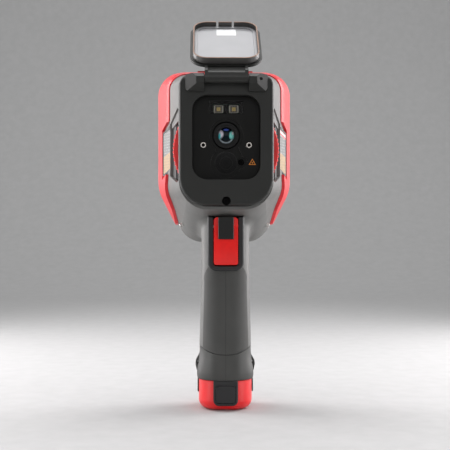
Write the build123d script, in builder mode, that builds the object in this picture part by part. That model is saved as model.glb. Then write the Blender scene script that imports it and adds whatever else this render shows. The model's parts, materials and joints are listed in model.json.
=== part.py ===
from build123d import *
import math
import os

# Thermal imaging camera with a pistol grip, millimetres.
# +Z is up, the lens looks along -Y, and +X is on the right when the lens faces the viewer.
# The origin is the middle of the battery's flat underside, which the camera stands on.
# "Depth" is a distance behind the front face of the bezel.

os.makedirs("parts", exist_ok=True)

# ---------------------------------------------------------------- driving dimensions
FRONT_Y = -50.0
SLIP = 0.3            # gap between parts that move past each other
EASE = 0.1            # gap between fixed parts that drop into each other
PIN_PLAY = 0.05       # radial clearance of a pin or shaft in its hole

WALL = 2.5            # moulded head wall
HULL_FRONT = 7.0      # depth of the clamshell's front edge
HULL_BACK = 85.0      # depth of the clamshell's rear edge
REAR_DEPTH = 95.0     # depth of the rear face

# head outline at its front and rear edge: half width, top, knee height, foot half width,
# foot height, top radius, knee radius, foot radius
FRONT_OUTLINE = (37.3, 268.5, 176.4, 24.2, 162.3, 9.0, 22.6, 22.6)
REAR_OUTLINE = (54.2, 279.1, 180.0, 31.5, 135.5, 18.0, 30.0, 21.0)

BEZEL_HALF = 36.9
BEZEL_TOP = 266.7
BEZEL_FOOT = 165.3
BEZEL_DEPTH = 13.0
PANEL_HALF = 26.7
PANEL_LOW = 185.6
PANEL_HIGH = 251.9
PANEL_RADIUS = 12.0
PANEL_DEPTH = 8.0     # depth of the lens panel's face
PANEL_THICK = 3.0

IR_Z = 220.7          # infrared lens axis
VISIBLE_Z = 199.1     # visible-light camera axis
LASER_X = 11.9
LASER_Z = 199.6
LED_Z = 241.5
LED_X = 6.0
PANEL_SCREW_X = 18.1
PANEL_SCREW_Z = 213.1

RING_Z = 209.7        # focus ring axis, 11 mm below the lens axis
RING_RADIUS = 42.3
RING_BORE = 37.5
RING_FRONT = 14.2
RING_BACK = 28.2
RING_TEETH = 70
GEAR_TEETH = 48
GEAR_FRONT = 22.4
GEAR_BACK = 27.4
TOOTH_WIDTH = 1.4     # at the pitch circle, module 1
ADDENDUM = 0.8
DEDENDUM = 1.2
BARREL_RADIUS = 14.0

HINGE_Y = -56.5
HINGE_Z = 263.5
HINGE_PIN = 1.25
HINGE_HALF = 17.4     # notch between the two hinge ears
OPEN_ABOVE = 36.4     # open cover, degrees above horizontal
COVER_WIDTH = 57.0
COVER_NEAR = 10.3     # hinge axis to the near end of the cover
COVER_LENGTH = 70.0
COVER_RADIUS = 13.8
COVER_PLATE = 2.6
COVER_OFFSET = 3.5    # hinge axis to the cover's outer face
LIP_INSET = 2.3
LIP_HEIGHT = 5.4
LIP_WALL = 1.1

BUMPER_FRONT = 45.0
BUMPER_BACK = 88.0
BUMPER_THICK = 2.3
PAD_WIDTH = 45.6

LABEL_FRONT = 43.9    # depth range of the slanted label plates
LABEL_BACK = 66.2
LABEL_FRONT_X = 43.3  # the plates slant outwards between these half widths
LABEL_BACK_X = 51.8
LABEL_LOW = 180.0
LABEL_PROUD = 0.5
LABEL_WALL = 3.2

HANDLE_FOOT = 24.8    # seam between battery and handle
GRIP_RUBBER = 1.6
GRIP_TOP = 117.0
GRIP_LOW = 45.5
GRIP_HALF_TOP = 17.0
GRIP_HALF_LOW = 19.0
ARC_RISE = 14.2       # rise of the grip's lower edge, 30 mm to the side
HANDLE_WALL = 2.2

TRIGGER_WIDTH = 19.3
TRIGGER_LOW = 117.6
TRIGGER_TOP = 156.3
TRIGGER_PIVOT_Y = -24.5
TRIGGER_PIVOT_Z = 149.0
TRIGGER_PIN = 1.5
PAD_LOW = 138.7
PAD_TOP = 156.8
SURROUND_WIDTH = 29.4
SURROUND_LOW = 113.3
SURROUND_TOP = 162.0
SURROUND_FRONT = -31.0

BATTERY_WIDTH = 43.6
BATTERY_DEEP = 50.0
BATTERY_TOP = 24.5
BATTERY_CORNER = 18.3
BATTERY_ROLL = 8.0    # radius of the bottom edge
PACK_WIDTH = 25.0     # part of the battery that goes up inside the handle
PACK_DEEP = 39.6
PACK_CORNER = 9.0
PACK_WALL = 1.3
PACK_TOP = 94.0
CELL_RADIUS = 9.1
CELL_LENGTH = 65.0
LATCH_WIDTH = 19.8
LATCH_LOW = 4.4
LATCH_BUTTON_WIDTH = 15.9
LATCH_BUTTON_LOW = 6.4
LATCH_BUTTON_TOP = 20.5

SCREEN_Z = 236.0
SCREEN_WIDTH = 84.0
SCREEN_HEIGHT = 66.0
VIEW_WIDTH = 74.0
VIEW_HEIGHT = 56.0
KEY_Z = 179.0
NAV_RADIUS = 14.0
OK_RADIUS = 6.5
SIDE_KEY_X = 28.0
SIDE_KEY_Z = 186.0
SIDE_KEY_RADIUS = 5.2
POWER_Z = 157.0
KEY_PROUD = 1.3
KEY_TRAVEL = 0.5

BOARD_Z = 226.0       # main board behind the optics
BOARD_WIDTH = 70.0
BOARD_HEIGHT = 74.0
BOARD_DEPTH = 62.0
BOARD_THICK = 1.6


# ---------------------------------------------------------------- shared geometry
def facing(depth):
    """A plane that looks forwards, this far behind the bezel's face; local x, y are X, Z."""
    return Plane.XZ.offset(-(FRONT_Y + depth))


def rounded_outline(plane, values, grow=0.0):
    """The closed outline of the head: square shoulders above, a tapered chin below."""
    half, top, knee, foot_half, foot, top_radius, knee_radius, foot_radius = values
    with BuildSketch(plane) as outline:
        with BuildLine():
            Polyline(
                (-foot_half, foot), (-half, knee), (-half, top),
                (half, top), (half, knee), (foot_half, foot), close=True,
            )
        make_face()
        fillet(outline.vertices().group_by(Axis.Y)[-1], top_radius)
        fillet(outline.vertices().group_by(Axis.Y)[1], knee_radius)
        fillet(outline.vertices().group_by(Axis.Y)[0], foot_radius)
        if grow:
            offset(amount=grow)
    return outline.sketch


def head_values(depth):
    """Outline values at a depth; the head widens evenly from front to rear."""
    share = (depth - HULL_FRONT) / (HULL_BACK - HULL_FRONT)
    return [a + (b - a) * share for a, b in zip(FRONT_OUTLINE, REAR_OUTLINE)]


def head_block(front, back, grow=0.0, back_grow=None):
    """The head between two depths as one solid, grown or shrunk all round."""
    last = grow if back_grow is None else back_grow
    with BuildPart() as block:
        loft(
            sections=[
                rounded_outline(facing(front), head_values(front), grow).face(),
                rounded_outline(facing(back), head_values(back), last).face(),
            ],
            ruled=True,
        )
    return block.part


# handle stations: height, width, depth; the handle is centred on the Z axis
HANDLE_STATIONS = (
    (HANDLE_FOOT, 43.0, 49.6),
    (75.0, 41.2, 50.0),
    (125.0, 39.2, 51.4),
    (172.0, 41.5, 58.0),
)


def handle_block(grow=0.0, stations=HANDLE_STATIONS):
    """The handle as one smooth solid, grown or shrunk all round."""
    faces = []
    for height, width, deep in stations:
        with BuildSketch(Plane.XY.offset(height)) as section:
            RectangleRounded(width + 2 * grow, deep + 2 * grow, 0.42 * width + grow)
        faces.append(section.sketch.face())
    with BuildPart() as block:
        loft(sections=faces)
    return block.part


# ---------------------------------------------------------------- front bezel
BEZEL_VALUES = (BEZEL_HALF, BEZEL_TOP, 178.2, 24.6, BEZEL_FOOT, 6.5, 21.5, 21.5)
BEZEL_ROLL = 2.4      # radius of the rolled front edge
CHIN_SCREW_Z = 168.9
CHIN_SCREW_RADIUS = 3.5
EAR_OUTER = 32.0
EAR_PROUD = 9.8
EAR_LOW = 253.9
EAR_FACET = 8.5       # width of the slanted outer facet
PIN_LEFT = 23.6       # the hinge pin's blind end
PIN_RIGHT = 25.4      # and its open end, measured from the middle plane

with BuildSketch(facing(0)) as panel_window:
    with Locations((0, (PANEL_LOW + PANEL_HIGH) / 2)):
        RectangleRounded(2 * PANEL_HALF, PANEL_HIGH - PANEL_LOW, PANEL_RADIUS)

with BuildPart() as hinge_ears:
    # two faceted blocks that stand in front of the face and carry the cover's pin
    with BuildSketch(Plane.YZ) as ear_profile:
        with BuildLine():
            Polyline(
                (FRONT_Y + 3, EAR_LOW), (FRONT_Y - 3, EAR_LOW + 0.5), (FRONT_Y - EAR_PROUD, 259.6),
                (FRONT_Y - EAR_PROUD, 265.0), (FRONT_Y - 6.5, 267.9), (FRONT_Y + 3, BEZEL_TOP),
                close=True,
            )
        make_face()
        fillet(ear_profile.vertices(), 0.8)
    extrude(amount=EAR_OUTER, both=True)
    with BuildSketch(facing(-EAR_PROUD - 1)):
        with Locations((0, EAR_LOW)):
            RectangleRounded(2 * EAR_OUTER, 30, 4.0, align=(Align.CENTER, Align.MIN))
        with Locations((0, EAR_LOW)):
            Rectangle(2 * HINGE_HALF, 60, mode=Mode.SUBTRACT)
    extrude(amount=-(EAR_PROUD + 5), mode=Mode.INTERSECT)
    with BuildSketch(Plane.XY.offset(BEZEL_TOP + 4)):
        with BuildLine():
            Polyline(
                (EAR_OUTER - EAR_FACET, FRONT_Y - EAR_PROUD), (EAR_OUTER, FRONT_Y - 1.5),
                (EAR_OUTER + 2, FRONT_Y - EAR_PROUD - 2), (EAR_OUTER - EAR_FACET, FRONT_Y - EAR_PROUD - 2),
                close=True,
            )
        make_face()
        mirror(about=Plane.YZ)
    extrude(amount=-20, mode=Mode.SUBTRACT)

with BuildPart() as front_bezel:
    extrude(rounded_outline(facing(0), BEZEL_VALUES), amount=-HULL_FRONT)
    fillet(front_bezel.faces().sort_by(Axis.Y)[0].edges(), BEZEL_ROLL)
    extrude(rounded_outline(facing(HULL_FRONT), BEZEL_VALUES, -2.2), amount=-(BEZEL_DEPTH - HULL_FRONT))
    add(hinge_ears.part)
    # bore for the hinge pin, open at one end so that the pin can be driven in
    with BuildSketch(Plane.YZ.offset(-PIN_LEFT)):
        with Locations((HINGE_Y, HINGE_Z)):
            Circle(HINGE_PIN + 0.01)
    extrude(amount=2 * EAR_OUTER, mode=Mode.SUBTRACT)
    # lens recess, and behind the panel a wide opening that leaves a seat
    extrude(panel_window.sketch, amount=-(PANEL_DEPTH + PANEL_THICK), mode=Mode.SUBTRACT)
    with BuildSketch(facing(PANEL_DEPTH)):
        with Locations((0, (PANEL_LOW + PANEL_HIGH) / 2)):
            RectangleRounded(2 * PANEL_HALF - 5, PANEL_HIGH - PANEL_LOW - 5, PANEL_RADIUS - 2.5)
    extrude(amount=-BEZEL_DEPTH, mode=Mode.SUBTRACT)
    # chin screw: deep counterbore and clearance hole
    with BuildSketch(facing(0)):
        with Locations((0, CHIN_SCREW_Z)):
            Circle(CHIN_SCREW_RADIUS)
    extrude(amount=-5.5, mode=Mode.SUBTRACT)
    with BuildSketch(facing(0)):
        with Locations((0, CHIN_SCREW_Z)):
            Circle(1.6)
    extrude(amount=-BEZEL_DEPTH, mode=Mode.SUBTRACT)
front_bezel.part.label = "front_bezel"
export_step(front_bezel.part, "parts/front_bezel.step")

with BuildPart() as chin_screw:
    with BuildSketch(facing(3.6)):
        with Locations((0, CHIN_SCREW_Z)):
            Circle(2.9)
    extrude(amount=-1.9)
    with BuildSketch(facing(3.6)):
        with Locations((0, CHIN_SCREW_Z)):
            RegularPolygon(1.3, 6)
    extrude(amount=-1.2, mode=Mode.SUBTRACT)
    with BuildSketch(facing(5.5)):
        with Locations((0, CHIN_SCREW_Z)):
            Circle(1.5)
    extrude(amount=-7)
chin_screw.part.label = "chin_screw"
export_step(chin_screw.part, "parts/chin_screw.step")

# ---------------------------------------------------------------- lens panel
POCKET = 1.2
LED_WINDOW_LOW = 237.9
LED_WINDOW_HIGH = 248.1

with BuildPart() as lens_panel:
    with BuildSketch(facing(PANEL_DEPTH)):
        with Locations((0, (PANEL_LOW + PANEL_HIGH) / 2)):
            RectangleRounded(
                2 * (PANEL_HALF - EASE), PANEL_HIGH - PANEL_LOW - 2 * EASE, PANEL_RADIUS - EASE
            )
    extrude(amount=-PANEL_THICK)
    with BuildSketch(facing(PANEL_DEPTH)):
        with Locations((0, VISIBLE_Z)):
            Circle(9.0)
    extrude(amount=-(POCKET + 0.8), mode=Mode.SUBTRACT)
    # shallow pocket that joins both lens openings and the laser aperture
    with BuildSketch(facing(PANEL_DEPTH)) as pocket:
        with Locations((0, IR_Z)):
            Circle(13.4)
        with Locations((0, VISIBLE_Z)):
            Circle(12.1)
        with Locations((LASER_X, LASER_Z)):
            Circle(4.7)
        with BuildLine():
            Polyline(
                (-9, IR_Z - 8), (9, IR_Z - 8), (LASER_X + 1, LASER_Z + 4.3), (-8, VISIBLE_Z + 7), close=True
            )
        make_face()
    extrude(amount=-POCKET, mode=Mode.SUBTRACT)
    with BuildSketch(facing(PANEL_DEPTH)):
        with Locations((0, IR_Z)):
            Circle(11.0)
        with Locations((0, VISIBLE_Z)):
            Circle(5.2)
        with Locations((LASER_X, LASER_Z)):
            Circle(2.7)
        with Locations((-PANEL_SCREW_X, PANEL_SCREW_Z), (PANEL_SCREW_X, PANEL_SCREW_Z)):
            Circle(1.35)
        with Locations((-LED_X, LED_Z), (LED_X, LED_Z)):
            RectangleRounded(8.0, 6.6, 1.2)
    extrude(amount=-PANEL_THICK, mode=Mode.SUBTRACT)
    with BuildSketch(facing(PANEL_DEPTH)):
        with Locations((-PANEL_SCREW_X, PANEL_SCREW_Z), (PANEL_SCREW_X, PANEL_SCREW_Z)):
            Circle(2.7)
    extrude(amount=-0.9, mode=Mode.SUBTRACT)
    with BuildSketch(facing(PANEL_DEPTH)):
        with Locations((0, (LED_WINDOW_LOW + LED_WINDOW_HIGH) / 2)):
            RectangleRounded(27.8, LED_WINDOW_HIGH - LED_WINDOW_LOW, 0.8)
    extrude(amount=-0.8, mode=Mode.SUBTRACT)
lens_panel.part.label = "lens_panel"
export_step(lens_panel.part, "parts/lens_panel.step")

with BuildPart() as led_window:
    with BuildSketch(facing(PANEL_DEPTH + 0.1)):
        with Locations((0, (LED_WINDOW_LOW + LED_WINDOW_HIGH) / 2)):
            RectangleRounded(27.6, LED_WINDOW_HIGH - LED_WINDOW_LOW - 0.2, 0.7)
    extrude(amount=-0.7)
led_window.part.label = "led_window"
export_step(led_window.part, "parts/led_window.step")

with BuildPart() as led_board:
    with BuildSketch(facing(PANEL_DEPTH + PANEL_THICK)):
        with Locations((0, LED_Z + 0.5)):
            Rectangle(26, 8)
    extrude(amount=-1.2)
led_board.part.label = "led_board"
export_step(led_board.part, "parts/led_board.step")

with BuildPart() as led_lamps:
    with BuildSketch(facing(PANEL_DEPTH + 1.0)):
        with Locations((-LED_X, LED_Z), (LED_X, LED_Z)):
            RectangleRounded(7.4, 6.0, 1.0)
    extrude(amount=-2.0)
    # square phosphor face sunk into each package
    with BuildSketch(facing(PANEL_DEPTH + 1.0)):
        with Locations((-LED_X, LED_Z), (LED_X, LED_Z)):
            RectangleRounded(3.6, 3.6, 0.8)
    extrude(amount=-0.4, mode=Mode.SUBTRACT)
led_lamps.part.label = "led_lamps"
export_step(led_lamps.part, "parts/led_lamps.step")

with BuildPart() as panel_screws:
    with BuildSketch(facing(PANEL_DEPTH - 0.4)) as head:
        with Locations((-PANEL_SCREW_X, PANEL_SCREW_Z), (PANEL_SCREW_X, PANEL_SCREW_Z)):
            Circle(2.5)
    extrude(amount=-1.3)
    chamfer(panel_screws.faces().sort_by(Axis.Y)[0:2].edges(), 0.35)
    with BuildSketch(facing(PANEL_DEPTH - 0.4)):
        with Locations((-PANEL_SCREW_X, PANEL_SCREW_Z), (PANEL_SCREW_X, PANEL_SCREW_Z)):
            RegularPolygon(1.25, 6)
    extrude(amount=-0.9, mode=Mode.SUBTRACT)
    with BuildSketch(facing(PANEL_DEPTH + 0.9)):
        with Locations((-PANEL_SCREW_X, PANEL_SCREW_Z), (PANEL_SCREW_X, PANEL_SCREW_Z)):
            Circle(1.25)
    extrude(amount=-(PANEL_THICK + 4.4 - 0.9))
panel_screws.part.label = "panel_screws"
export_step(panel_screws.part, "parts/panel_screws.step")

with BuildPart() as visible_window:
    with BuildSketch(facing(PANEL_DEPTH + POCKET)):
        with Locations((0, VISIBLE_Z)):
            Circle(8.9)
    extrude(amount=-0.8)
visible_window.part.label = "visible_window"
export_step(visible_window.part, "parts/visible_window.step")

with BuildPart() as visible_camera:
    with BuildSketch(facing(PANEL_DEPTH + 2.1)):
        with Locations((0, VISIBLE_Z)):
            Circle(4.5)
    extrude(amount=-1.8)
    with BuildSketch(facing(PANEL_DEPTH + PANEL_THICK + 0.1)):
        with Locations((0, VISIBLE_Z)):
            Rectangle(10, 10)
    extrude(amount=-2.4)
visible_camera.part.label = "visible_camera"
export_step(visible_camera.part, "parts/visible_camera.step")

with BuildPart() as laser_module:
    with BuildSketch(facing(PANEL_DEPTH + 1.6)):
        with Locations((LASER_X, LASER_Z)):
            Circle(2.6)
    extrude(amount=-11.5)
    with BuildSketch(facing(PANEL_DEPTH + 1.6)):
        with Locations((LASER_X, LASER_Z)):
            Circle(1.4)
    extrude(amount=-1.2, mode=Mode.SUBTRACT)
laser_module.part.label = "laser_module"
export_step(laser_module.part, "parts/laser_module.step")

# ---------------------------------------------------------------- focus drive
PITCH_RING = RING_TEETH / 2
PITCH_GEAR = GEAR_TEETH / 2
CARRIER_FRONT = BEZEL_DEPTH + 0.1
BARREL_BACK = 36.0
CELL_RADIUS_OUT = 12.0


def teeth(plane, centre_z, count, pitch_radius, inward, first_angle, outer):
    """Trapezoid gear teeth round a circle, drawn from the pitch circle to both sides."""
    sense = -1 if inward else 1
    top = pitch_radius + sense * ADDENDUM
    root = pitch_radius - sense * (DEDENDUM + outer)
    wide = TOOTH_WIDTH + 0.75 * DEDENDUM
    narrow = TOOTH_WIDTH - 0.75 * ADDENDUM
    with BuildSketch(plane) as ring_of_teeth:
        with Locations((0, centre_z)):
            with PolarLocations(0, count, start_angle=first_angle):
                Polygon(
                    (root, -wide / 2), (top, -narrow / 2), (top, narrow / 2), (root, wide / 2), align=None
                )
    return ring_of_teeth.sketch


with BuildPart() as focus_ring:
    with BuildSketch(facing(RING_FRONT)):
        with Locations((0, RING_Z)):
            Circle(RING_RADIUS)
            Circle(RING_BORE, mode=Mode.SUBTRACT)
    extrude(amount=-(RING_BACK - RING_FRONT))
    chamfer(focus_ring.edges().filter_by(GeomType.CIRCLE).sort_by(SortBy.RADIUS)[-2:], 1.0)
    # grip serrations
    with BuildSketch(facing(RING_FRONT)):
        with Locations((0, RING_Z)):
            with PolarLocations(RING_RADIUS + 0.35, 80):
                Circle(1.05)
    extrude(amount=-(RING_BACK - RING_FRONT), mode=Mode.SUBTRACT)
    # internal teeth that drive the lens gear
    with BuildSketch(facing(GEAR_FRONT)):
        with Locations((0, RING_Z)):
            Circle(RING_BORE + 0.4)
            Circle(PITCH_RING + DEDENDUM, mode=Mode.SUBTRACT)
    extrude(amount=-(GEAR_BACK - GEAR_FRONT))
    extrude(
        teeth(facing(GEAR_FRONT), RING_Z, RING_TEETH, PITCH_RING, True, 90 + 180 / RING_TEETH, 0.6),
        amount=-(GEAR_BACK - GEAR_FRONT),
    )
focus_ring.part.label = "focus_ring"
export_step(focus_ring.part, "parts/focus_ring.step")

with BuildPart() as focus_gear:
    with BuildSketch(facing(GEAR_FRONT)):
        with Locations((0, IR_Z)):
            Circle(PITCH_GEAR - DEDENDUM)
    extrude(amount=-(GEAR_BACK - GEAR_FRONT))
    extrude(
        teeth(facing(GEAR_FRONT), IR_Z, GEAR_TEETH, PITCH_GEAR, False, 90, 0.6),
        amount=-(GEAR_BACK - GEAR_FRONT),
    )
    with BuildSketch(facing(GEAR_FRONT)):
        with Locations((0, IR_Z)):
            Circle(BARREL_RADIUS + PIN_PLAY)
    extrude(amount=-(GEAR_BACK - GEAR_FRONT), mode=Mode.SUBTRACT)
    with BuildSketch(facing(GEAR_FRONT)):
        with Locations((0, IR_Z)):
            with PolarLocations(18.6, 6):
                Circle(2.2)
    extrude(amount=-(GEAR_BACK - GEAR_FRONT), mode=Mode.SUBTRACT)
focus_gear.part.label = "focus_gear"
export_step(focus_gear.part, "parts/focus_gear.step")

with BuildPart() as ring_carrier:
    # drum that the focus ring turns on, with a front flange and windows for the optics
    with BuildSketch(facing(CARRIER_FRONT)):
        with Locations((0, RING_Z)):
            Circle(RING_BORE + 0.6)
    extrude(amount=-(RING_FRONT - SLIP - CARRIER_FRONT))
    with BuildSketch(facing(RING_FRONT - SLIP)):
        with Locations((0, RING_Z)):
            Circle(RING_BORE - PIN_PLAY)
    extrude(amount=-(GEAR_FRONT - SLIP - RING_FRONT + SLIP))
    with BuildSketch(facing(CARRIER_FRONT + 2.0)):
        with Locations((0, RING_Z)):
            Circle(RING_BORE - 3.0)
    extrude(amount=-20, mode=Mode.SUBTRACT)
    with BuildSketch(facing(CARRIER_FRONT)):
        with Locations((0, IR_Z)):
            Circle(BARREL_RADIUS + 3)
        with Locations((LASER_X, LASER_Z)):
            Circle(2.6 + 2.2)
    extrude(amount=-(GEAR_FRONT - SLIP - CARRIER_FRONT))
    with BuildSketch(facing(CARRIER_FRONT)):
        with Locations((0, IR_Z)):
            Circle(BARREL_RADIUS + 0.01)
        with Locations((LASER_X, LASER_Z)):
            Circle(2.6 + 0.01)
        with Locations((-PANEL_SCREW_X, PANEL_SCREW_Z), (PANEL_SCREW_X, PANEL_SCREW_Z)):
            Circle(1.25)
        with Locations((0, VISIBLE_Z)):
            Rectangle(10.6, 10.6)
    extrude(amount=-20, mode=Mode.SUBTRACT)
ring_carrier.part.label = "ring_carrier"
export_step(ring_carrier.part, "parts/ring_carrier.step")

RETAINER_BACK = RING_BACK + SLIP + 2.0

with BuildPart() as ring_retainer:
    # bulkhead behind the ring, cut to the inside of the head
    add(head_block(RING_BACK + SLIP, RETAINER_BACK, -(WALL + 0.6)))
    with BuildSketch(facing(RING_BACK)):
        with Locations((0, IR_Z)):
            Circle(BARREL_RADIUS + 0.01)
        with Locations((0, RING_Z - 24)):
            RectangleRounded(34, 12, 3)
    extrude(amount=-10, mode=Mode.SUBTRACT)
    # four posts that carry the main board
    with BuildSketch(facing(RETAINER_BACK)):
        with Locations((0, BOARD_Z)):
            with GridLocations(BOARD_WIDTH - 8, BOARD_HEIGHT - 8, 2, 2):
                Circle(2.6)
    extrude(amount=-(BOARD_DEPTH - RETAINER_BACK))
ring_retainer.part.label = "ring_retainer"
export_step(ring_retainer.part, "parts/ring_retainer.step")

with BuildPart() as lens_barrel:
    with BuildSketch(facing(CARRIER_FRONT - 1.0)):
        with Locations((0, IR_Z)):
            Circle(BARREL_RADIUS)
            Circle(CELL_RADIUS_OUT + PIN_PLAY, mode=Mode.SUBTRACT)
    extrude(amount=-(BARREL_BACK - CARRIER_FRONT + 1.0))
lens_barrel.part.label = "lens_barrel"
export_step(lens_barrel.part, "parts/lens_barrel.step")

with BuildPart() as lens_cell:
    # sliding cell: narrow nose in the panel's opening, wide skirt inside the barrel
    with BuildSketch(facing(PANEL_DEPTH + 0.4)):
        with Locations((0, IR_Z)):
            Circle(10.0)
    extrude(amount=-7.0)
    with BuildSketch(facing(CARRIER_FRONT + 1.5)):
        with Locations((0, IR_Z)):
            Circle(CELL_RADIUS_OUT)
    extrude(amount=-14.0)
    with BuildSketch(facing(PANEL_DEPTH)):
        with Locations((0, IR_Z)):
            Circle(6.6)
    extrude(amount=-40.0, mode=Mode.SUBTRACT)
    # stepped, blackened mouth in front of the glass
    with BuildSketch(facing(PANEL_DEPTH)):
        with Locations((0, IR_Z)):
            Circle(8.2)
    extrude(amount=-1.4, mode=Mode.SUBTRACT)
lens_cell.part.label = "lens_cell"
export_step(lens_cell.part, "parts/lens_cell.step")

with BuildPart() as ir_lens:
    # bulged front lens and a rear lens, both held in the cell
    with BuildSketch(Plane.YZ):
        with BuildLine():
            Line((FRONT_Y + 13.4, IR_Z), (FRONT_Y + 10.2, IR_Z))
            ThreePointArc(
                (FRONT_Y + 10.2, IR_Z), (FRONT_Y + 10.75, IR_Z + 3.3), (FRONT_Y + 12.2, IR_Z + 6.58)
            )
            Line((FRONT_Y + 12.2, IR_Z + 6.58), (FRONT_Y + 13.4, IR_Z + 6.58))
            Line((FRONT_Y + 13.4, IR_Z + 6.58), (FRONT_Y + 13.4, IR_Z))
        make_face()
        with Locations((FRONT_Y + 25.5, IR_Z + 6.58 / 2)):
            Rectangle(3.0, 6.58)
    revolve(axis=Axis((0, 0, IR_Z), (0, 1, 0)))
ir_lens.part.label = "ir_lens"
export_step(ir_lens.part, "parts/ir_lens.step")

with BuildPart() as detector_module:
    with BuildSketch(facing(BARREL_BACK)):
        with Locations((0, IR_Z)):
            RectangleRounded(32, 32, 2)
    extrude(amount=-16)
    with BuildSketch(facing(BARREL_BACK)):
        with Locations((0, IR_Z)):
            Circle(9)
    extrude(amount=-3, mode=Mode.SUBTRACT)
detector_module.part.label = "detector_module"
export_step(detector_module.part, "parts/detector_module.step")

# ---------------------------------------------------------------- strap studs
STUD_DEPTH = 71.0
stud_values = head_values(STUD_DEPTH)
stud_run = stud_values[0] - stud_values[3]
stud_rise = stud_values[2] - stud_values[4]
stud_slope = math.hypot(stud_run, stud_rise)
STUD_SHARE = 0.26     # how far up the sloping flank the studs sit
stud_plane = Plane(
    origin=(
        stud_values[3] + STUD_SHARE * stud_run,
        FRONT_Y + STUD_DEPTH,
        stud_values[4] + STUD_SHARE * stud_rise,
    ),
    z_dir=(stud_rise / stud_slope, 0, -stud_run / stud_slope),
)
with BuildPart() as strap_studs:
    # steel studs for the strap on both sloping flanks
    with BuildSketch(stud_plane.offset(-1.5)):
        Circle(1.6)
    extrude(amount=3.2)
    with BuildSketch(stud_plane.offset(1.6)):
        Circle(2.0)
    extrude(amount=0.9)
    stud_edges = strap_studs.edges().filter_by(GeomType.CIRCLE)
    chamfer(stud_edges.sort_by(Axis(stud_plane.origin, stud_plane.z_dir))[-1], 0.3)
    mirror(about=Plane.YZ)
strap_studs.part.label = "strap_studs"
export_step(strap_studs.part, "parts/strap_studs.step")

# ---------------------------------------------------------------- clamshell and grip
SLOT_LOW = 184.0
SLOT_HIGH = 234.0
SLOT_FRONT = 8.6
SLOT_BACK = 43.8
RELIEF = 1.4          # shallow relief above each slot
GUARD_SINK = 2.4      # how far the slot's floor lies below the head's surface
TRIGGER_ROOM = 16.0   # the trigger surround's block reaches this far behind its front face
NECK_FILLET = 8.0
NECK_LOW = 133.0      # the neck's edges lie between these heights,
NECK_HIGH = 166.0
NECK_HALF = 21.5      # within this far of the middle plane
NECK_REACH = 31.0     # and this far of the handle's axis, front to back



def below_arc(crest):
    """Everything below an arc across the handle, as seen from the front."""
    with BuildPart() as zone:
        with BuildSketch(Plane.XZ):
            with BuildLine():
                Line((-30, 0), (30, 0))
                Line((30, 0), (30, crest + ARC_RISE))
                ThreePointArc((30, crest + ARC_RISE), (0, crest), (-30, crest + ARC_RISE))
                Line((-30, crest + ARC_RISE), (-30, 0))
            make_face()
        extrude(amount=40, both=True)
    return zone.part


with BuildPart() as grip_zone:
    # front and rear of the handle, as seen from the front; the flanks stay bare
    with BuildSketch(Plane.XZ):
        with BuildLine():
            Line((-13, GRIP_TOP), (13, GRIP_TOP))
            ThreePointArc((13, GRIP_TOP), (16.1, 112.6), (GRIP_HALF_TOP, 104))
            Line((GRIP_HALF_TOP, 104), (GRIP_HALF_LOW, 30))
            Line((GRIP_HALF_LOW, 30), (-GRIP_HALF_LOW, 30))
            Line((-GRIP_HALF_LOW, 30), (-GRIP_HALF_TOP, 104))
            ThreePointArc((-GRIP_HALF_TOP, 104), (-16.1, 112.6), (-13, GRIP_TOP))
        make_face()
    extrude(amount=40, both=True)
    add(below_arc(GRIP_LOW), mode=Mode.SUBTRACT)



def flank_plate(proud, thick, margin):
    """Slanted plates in both flanks behind the slots, inside the label's outline less a margin."""
    front_x = LABEL_FRONT_X + proud
    back_x = LABEL_BACK_X + proud
    with BuildPart() as plate:
        with BuildSketch(Plane.XY.offset(LABEL_LOW)):
            with BuildLine():
                Polyline(
                    (front_x, FRONT_Y + LABEL_FRONT), (back_x, FRONT_Y + LABEL_BACK),
                    (back_x - thick, FRONT_Y + LABEL_BACK), (front_x - thick, FRONT_Y + LABEL_FRONT),
                    close=True,
                )
            make_face()
            mirror(about=Plane.YZ)
        extrude(amount=60)
        with BuildSketch(Plane.YZ) as label_outline:
            with BuildLine():
                Polyline(
                    (FRONT_Y + 44, 231.8), (FRONT_Y + 66, 227.5), (FRONT_Y + 66, 190.5),
                    (FRONT_Y + 44, 196.5), close=True,
                )
            make_face()
            fillet(label_outline.vertices(), 2.0)
            offset(amount=-margin)
        extrude(amount=70, both=True, mode=Mode.INTERSECT)
    return plate.part


with BuildPart() as slot_cut:
    # finger slots over the focus ring, with slanted ends
    with BuildSketch(Plane.YZ):
        with BuildLine():
            Polyline(
                (FRONT_Y + SLOT_FRONT, SLOT_LOW + 1), (FRONT_Y + SLOT_FRONT, SLOT_HIGH),
                (FRONT_Y + SLOT_BACK, SLOT_HIGH - 5), (FRONT_Y + SLOT_BACK, SLOT_LOW + 6),
                (FRONT_Y + SLOT_FRONT + 8, SLOT_LOW), close=True,
            )
        make_face()
    extrude(amount=70, both=True)

with BuildPart() as slot_relief:
    # shallow slanted relief that leads into each slot from above
    with BuildSketch(Plane.YZ):
        with BuildLine():
            Polyline(
                (FRONT_Y + SLOT_FRONT, SLOT_HIGH - 4), (FRONT_Y + SLOT_FRONT, SLOT_HIGH + 7),
                (FRONT_Y + SLOT_FRONT + 4, SLOT_HIGH + 9), (FRONT_Y + SLOT_BACK, SLOT_HIGH - 1),
                (FRONT_Y + SLOT_BACK, SLOT_HIGH - 8), close=True,
            )
        make_face()
    extrude(amount=70, both=True)
    add(head_block(HULL_FRONT, HULL_BACK, -RELIEF), mode=Mode.SUBTRACT)

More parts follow.
